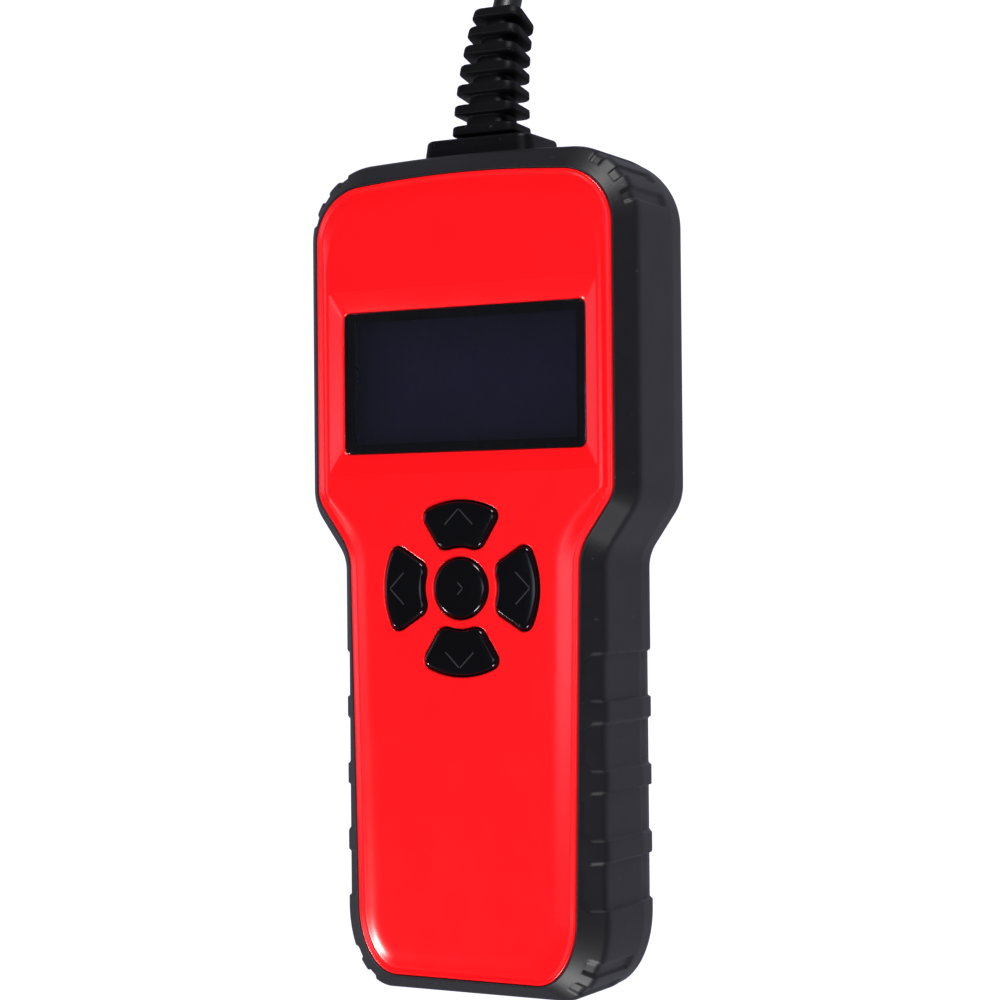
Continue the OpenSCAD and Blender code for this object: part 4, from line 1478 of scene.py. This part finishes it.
@dataclass
class Plug:
    """The sixteen-way plug: relief, grip, keyed shroud, carrier and blades."""

    x: float = 21.0
    z: float = 10.5
    relief_y: float = 216.0
    relief_len: float = 20.0
    grip_w: float = 43.0
    grip_h: float = 21.0
    grip_len: float = 36.0
    shroud_len: float = 19.0
    wide: float = 38.6
    narrow: float = 34.6
    shroud_h: float = 18.6
    slant_z: float = -2.0
    wall: float = 1.5
    web: float = 1.0
    carrier_face: float = 4.0
    tips_in: float = 7.0
    pin_pitch: float = 4.0
    row_half: float = 4.0
    pins: int = 8

    @property
    def grip_y(self) -> float:
        """Where the grip starts."""
        return self.relief_y + self.relief_len

    @property
    def shroud_y(self) -> float:
        """Where the shroud starts."""
        return self.grip_y + self.grip_len

    def ring(self, line: Iterable[tuple[float, float]], y: float) -> Ring:
        """An outline across the plug's axis at a place along it."""
        return [Vector((self.x + u, y, self.z + w)) for u, w in line]

    def relief(self) -> bpy.types.Object:
        """Builds the ribbed relief.

        Returns:
            The piece.
        """
        rings = []
        ribs = 6
        for i in range(ribs * 10 + 1):
            s = self.relief_len * i / (ribs * 10)
            phase = (i % 10) / 10
            bump = smooth((phase - 0.35) / 0.12) * smooth((1.0 - phase) / 0.12)
            r = mix(3.7, 5.6, s / self.relief_len) + 1.1 * bump
            rings.append(self.ring(rounded_rect(2 * r, 2 * r, r - 0.01, 8), self.relief_y + s))
        shape = Shaper()
        shape.loft(rings)
        shape.weld()
        shape.fill(lambda p: p.y < self.relief_y + 0.01)
        shape.fill(lambda p: p.y > self.grip_y - 0.01)
        return shape.piece(
            "plug_relief_skin", RELIEF_RUBBER,
            slot="relief_rubber", replaces=["plug_strain_relief"], crease=50.0,
        )

    def grip(self) -> bpy.types.Object:
        """Builds the grip with its finger grooves.

        Returns:
            The piece.
        """
        w, h = self.grip_w, self.grip_h
        rows = [
            (w - 16, h - 5, 0.0), (w - 14.2, h - 3.4, 0.5), (w - 13, h - 2.6, 1.5), (w - 10, h - 1.8, 3.4),
            (w - 6, h - 1.0, 5.4), (w - 2.4, h - 0.4, 7.6), (w - 0.5, h - 0.05, 9.4), (w, h, 10.4),
        ]
        y = 10.4
        for k in range(4):
            base = 12.0 + 5.0 * k - 2.0
            for t in spaced(0, 1, 9):
                dent = 0.8 * math.sin(math.pi * t) ** 2
                rows.append((w - 2 * dent, h, base + 4.0 * t))
            y = base + 4.0
        rows.append((w, h, y + 2.2))
        for short, drop in ((1.2, 0.0), (0.6, 0.25), (0.2, 0.8), (0.0, 1.5)):
            rows.append((w - drop, h - drop, self.grip_len - short))
        shape = Shaper()
        lines = [(rounded_rect(a, b, min(6.0, b / 2 - 0.5), 8), s) for a, b, s in rows]
        shape.loft([self.ring(line, self.grip_y + s) for line, s in lines])
        shape.weld()
        shape.fill(lambda p: p.y < self.grip_y + 0.001)
        shape.fill(lambda p: p.y > self.shroud_y - 0.001)
        return shape.piece(
            "plug_grip_skin", PLUG_PLASTIC, slot="black_plastic", replaces=["plug_grip"], crease=40.0,
        )

    def keyed(self, grow: float, corner: float = 1.6) -> list[tuple[float, float]]:
        """The shroud's keyed outline with round corners, grown or shrunk.

        Args:
            grow: How far outside the shroud's own outline it runs.
            corner: Size of the corners' rounding before they are grown.

        Returns:
            Points, as pairs across the plug.
        """
        wide, narrow, high = self.wide / 2 + grow, self.narrow / 2 + grow, self.shroud_h / 2 + grow
        half = [(wide, -high), (wide, self.slant_z), (narrow, high)]
        corners = half + [(-u, w) for u, w in reversed(half)]
        bm = bmesh.new()
        verts = [bm.verts.new((u, 0.0, w)) for u, w in corners]
        bm.faces.new(verts)
        bmesh.ops.bevel(
            bm, geom=verts, offset=max(0.2, corner + grow), segments=5, profile=0.5, affect="VERTICES",
            material=-1,
        )
        face = next(iter(bm.faces))
        points = [(loop.vert.co.x, loop.vert.co.z) for loop in face.loops]
        bm.free()
        return points

    def shroud(self) -> bpy.types.Object:
        """Builds the keyed shroud, open at its front.

        Returns:
            The piece.
        """
        end = self.shroud_y + self.shroud_len
        w = self.wall
        rows = [(0.0, self.shroud_y), (0.0, end - 0.5), (-0.12, end - 0.15), (-0.4, end), (-w + 0.3, end),
                (-w + 0.05, end - 0.2), (-w, end - 0.6), (-w, self.shroud_y + self.web)]
        shape = Shaper()
        shape.loft([self.ring(self.keyed(g), y) for g, y in rows])
        shape.weld()
        shape.fill(lambda p: abs(p.y - self.shroud_y) < 1e-3)
        shape.fill(lambda p: abs(p.y - self.shroud_y - self.web) < 1e-3)
        return shape.piece(
            "plug_shroud_skin", SHROUD_PLASTIC, slot="black_plastic", replaces=["plug_shroud"], crease=40.0,
        )

    def inside(self) -> list[bpy.types.Object]:
        """Builds the carrier and the sixteen blades.

        Returns:
            Both pieces.
        """
        tips = self.shroud_y + self.shroud_len - self.tips_in
        back, face = self.shroud_y + self.web, self.shroud_y + self.carrier_face
        spots = [
            (self.x + (i - (self.pins - 1) / 2) * self.pin_pitch, self.z + side * self.row_half)
            for i in range(self.pins) for side in (-1, 1)
        ]
        carrier = Shaper()
        carrier.loft([self.ring(self.keyed(-self.wall - 0.1), y) for y in (back, face)])
        carrier.weld()
        carrier.fill(lambda p: abs(p.y - back) < 1e-3)
        carrier.fill(lambda p: abs(p.y - face) < 1e-3)
        carrier.box((self.x - 14.5, face - 0.1, self.z - 1.1), (self.x + 14.5, tips, self.z + 1.1), 0.25)
        for x, z in spots:
            carrier.box((x - 1.6, face - 0.1, z - 0.9), (x + 1.6, face + 0.7, z + 0.9), 0.2, 1)
        blades = Shaper()
        for x, z in spots:
            blades.box((x - 1.2, face, z - 0.4), (x + 1.2, tips, z + 0.4), 0.22, 2)
        return [
            carrier.piece(
                "plug_carrier_skin", SHROUD_PLASTIC,
                slot="black_plastic", replaces=["pin_carrier"], crease=40.0,
            ),
            blades.piece("plug_blades", GOLD, slot="gold_plate", replaces=["plug_pins"], crease=40.0),
        ]

    def build(self) -> list[bpy.types.Object]:
        """Builds the plug.

        Returns:
            Its pieces.
        """
        return [self.relief(), self.grip(), self.shroud(), *self.inside()]


# ---- what is carried over from the frame ---------------------------------------------------


@dataclass
class Carried:
    """Solids that stay as they are and get their finishes."""

    finishes: dict[str, Finish] = field(
        default_factory=lambda: {
            "lens_gasket": GASKET, "lcd_frame": SHEET_STEEL, "lcd_glass": LCD_FINISH,
            "lcd_backlight": WHITE_PLASTIC, "lcd_flex": FLEX_FILM, "keypad_mat": SILICONE,
            "main_board": BOARD_MASK, "contact_pads": GOLD,
            "processor_chip": CHIP_EPOXY, "transceiver_chips": CHIP_EPOXY, "crystal": SHEET_STEEL,
            "buzzer": REAR_PLASTIC, "capacitors": SLEEVE, "cable_header": WHITE_PLASTIC,
            "crimp_housing": WHITE_PLASTIC, "inner_wires": INSULATION, "inner_cable": CABLE_JACKET,
            "cable_clamp": REAR_PLASTIC, "clamp_screws": SCREW_ZINC, "board_screws": SCREW_ZINC,
            "case_screws": SCREW_ZINC, "rear_label": LABEL_FILM,
            **{f"dome_{k.name}": SILICONE for k in KEYS},
            **{f"puck_{k.name}": CARBON_RUBBER for k in KEYS},
        }
    )

    def dress(self) -> None:
        """Gives each carried solid its finish."""
        for name, finish in self.finishes.items():
            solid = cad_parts[name]
            solid.data.materials.clear()
            solid.data.materials.append(finish.material())
        for key in KEYS:
            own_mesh(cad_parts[f"dome_{key.name}"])


# ---- stage ---------------------------------------------------------------------------------


@dataclass
class Studio:
    """The floor, the lights and the camera."""

    eye: tuple[float, float, float] = (244.9, 1.3, 473.7)
    back: tuple[float, float, float] = (0.48276, -0.01623, 0.87561)
    roll: float = -0.49
    lens: float = 88.2
    shift: tuple[float, float] = (0.0387, 0.0263)
    floor_drop: float = 0.3
    floor_tint: Rgb = (0.84, 0.84, 1.0)
    floor_seen: float = 1.3
    floor_lit: float = 0.5
    floor_mirrored: float = 0.44

    def camera(self) -> None:
        """Sets up the camera."""
        back = Vector(self.back).normalized()
        right = Vector((0, 1, 0)).cross(back).normalized()
        up = back.cross(right)
        a = math.radians(self.roll)
        r, u = right * math.cos(a) + up * math.sin(a), up * math.cos(a) - right * math.sin(a)
        data = bpy.data.cameras.new("camera")
        data.lens, data.sensor_width = self.lens, 36.0
        data.shift_x, data.shift_y = self.shift
        data.clip_start, data.clip_end = 0.02, 50.0
        cam = bpy.data.objects.new("camera", data)
        bpy.context.scene.collection.objects.link(cam)
        turn = Matrix((r, u, back)).transposed().to_4x4()
        cam.matrix_world = Matrix.Translation(Vector(self.eye) * MM) @ turn
        bpy.context.scene.camera = cam

    def lamp(
        self, name: str, way: Sequence[float], distance: float, size: Sequence[float], watts: float,
        colour: Rgb = (1.0, 1.0, 1.0),
    ) -> None:
        """Adds a soft rectangular lamp that looks at the reader.

        Args:
            name: The lamp's name.
            way: The direction it stands in.
            distance: How far away it is, in metres.
            size: Its width and height in metres.
            watts: Its strength.
            colour: Its colour.
        """
        data = bpy.data.lights.new(name, "AREA")
        data.shape = "RECTANGLE"
        data.size, data.size_y = size
        data.energy = watts
        data.color = colour
        lamp = bpy.data.objects.new(name, data)
        bpy.context.scene.collection.objects.link(lamp)
        lamp.location = Vector(way).normalized() * distance
        lamp.rotation_mode = "QUATERNION"
        lamp.rotation_quaternion = (-lamp.location).to_track_quat("-Z", "Y")

    def floor(self) -> None:
        """Lays a pale floor lit from within, dimmer in reflections, and clear from below to show the back."""
        bm = bmesh.new()
        bmesh.ops.create_grid(bm, x_segments=1, y_segments=1, size=8.0)
        bmesh.ops.translate(bm, vec=(0.0, 0.0, -self.floor_drop * MM), verts=bm.verts[:])
        mesh = bpy.data.meshes.new("floor")
        bm.to_mesh(mesh)
        bm.free()
        floor = bpy.data.objects.new("floor", mesh)
        bpy.context.scene.collection.objects.link(floor)
        made = bpy.data.materials.new("pale floor")
        made.use_nodes = True
        tree = made.node_tree
        shader = tree.nodes["Principled BSDF"]
        shader.inputs["Base Color"].default_value = (0.0, 0.0, 0.0, 1.0)
        shader.inputs["Roughness"].default_value = 1.0
        shader.inputs["Specular IOR Level"].default_value = 0.0
        shader.inputs["Emission Color"].default_value = (*self.floor_tint, 1.0)
        path = tree.nodes.new("ShaderNodeLightPath")
        seen = maths(tree, "MULTIPLY", path.outputs["Is Camera Ray"], self.floor_seen - self.floor_lit)
        gain = self.floor_mirrored - self.floor_lit
        mirrored = maths(tree, "MULTIPLY", path.outputs["Is Glossy Ray"], gain)
        level = maths(tree, "ADD", maths(tree, "ADD", seen, mirrored), self.floor_lit)
        tree.links.new(level, shader.inputs["Emission Strength"])
        clear = tree.nodes.new("ShaderNodeBsdfTransparent")
        side = tree.nodes.new("ShaderNodeNewGeometry")
        either = tree.nodes.new("ShaderNodeMixShader")
        tree.links.new(side.outputs["Backfacing"], either.inputs["Fac"])
        tree.links.new(shader.outputs["BSDF"], either.inputs[1])
        tree.links.new(clear.outputs["BSDF"], either.inputs[2])
        tree.links.new(either.outputs["Shader"], tree.nodes["Material Output"].inputs["Surface"])
        mesh.materials.append(made)

    def build(self) -> None:
        """Sets the floor, the world and the lamps."""
        self.floor()
        world = bpy.data.worlds.new("world")
        bpy.context.scene.world = world
        world.use_nodes = True
        sky = world.node_tree.nodes["Background"]
        sky.inputs["Color"].default_value = (0.80, 0.82, 1.0, 1.0)
        sky.inputs["Strength"].default_value = 0.10
        cool = (0.76, 0.80, 1.0)
        self.lamp("spot", (-0.745, -0.36, 0.56), 1.3, (0.13, 0.13), 6.0)
        self.lamp("overhead strip", (0.06, 0.0, 1.0), 1.5, (0.3, 1.1), 2.6, cool)
        self.lamp("left strip", (-0.93, 0.1, 0.36), 1.5, (0.5, 1.2), 1.5, cool)
        self.lamp("head lamp", (0.30, 0.85, 0.53), 1.6, (0.5, 0.5), 20.5)
        self.lamp("foot lamp", (0.30, -0.85, 0.53), 1.6, (0.5, 0.5), 20.5)
        scene = bpy.context.scene
        scene.view_settings.view_transform = "Standard"
        scene.view_settings.look = "None"


def main() -> None:
    """Builds the reader piece by piece."""
    logging.basicConfig(level=logging.INFO, format="%(name)s: %(message)s")
    studio = Studio()
    studio.camera()
    plug = Plug().build()
    strap = CoilTie().build()
    Gland().build()
    StrainRelief().build()
    ends = [bpy.data.objects[name] for name in ("gland_block_skin", "strain_relief_skin")]
    CableRun().build([*plug, strap, *ends])
    Case().build()
    Display().build()
    for spot in KEYS:
        Key(spot).build()
    Carried().dress()
    studio.build()


if __name__ == "__main__":
    main()
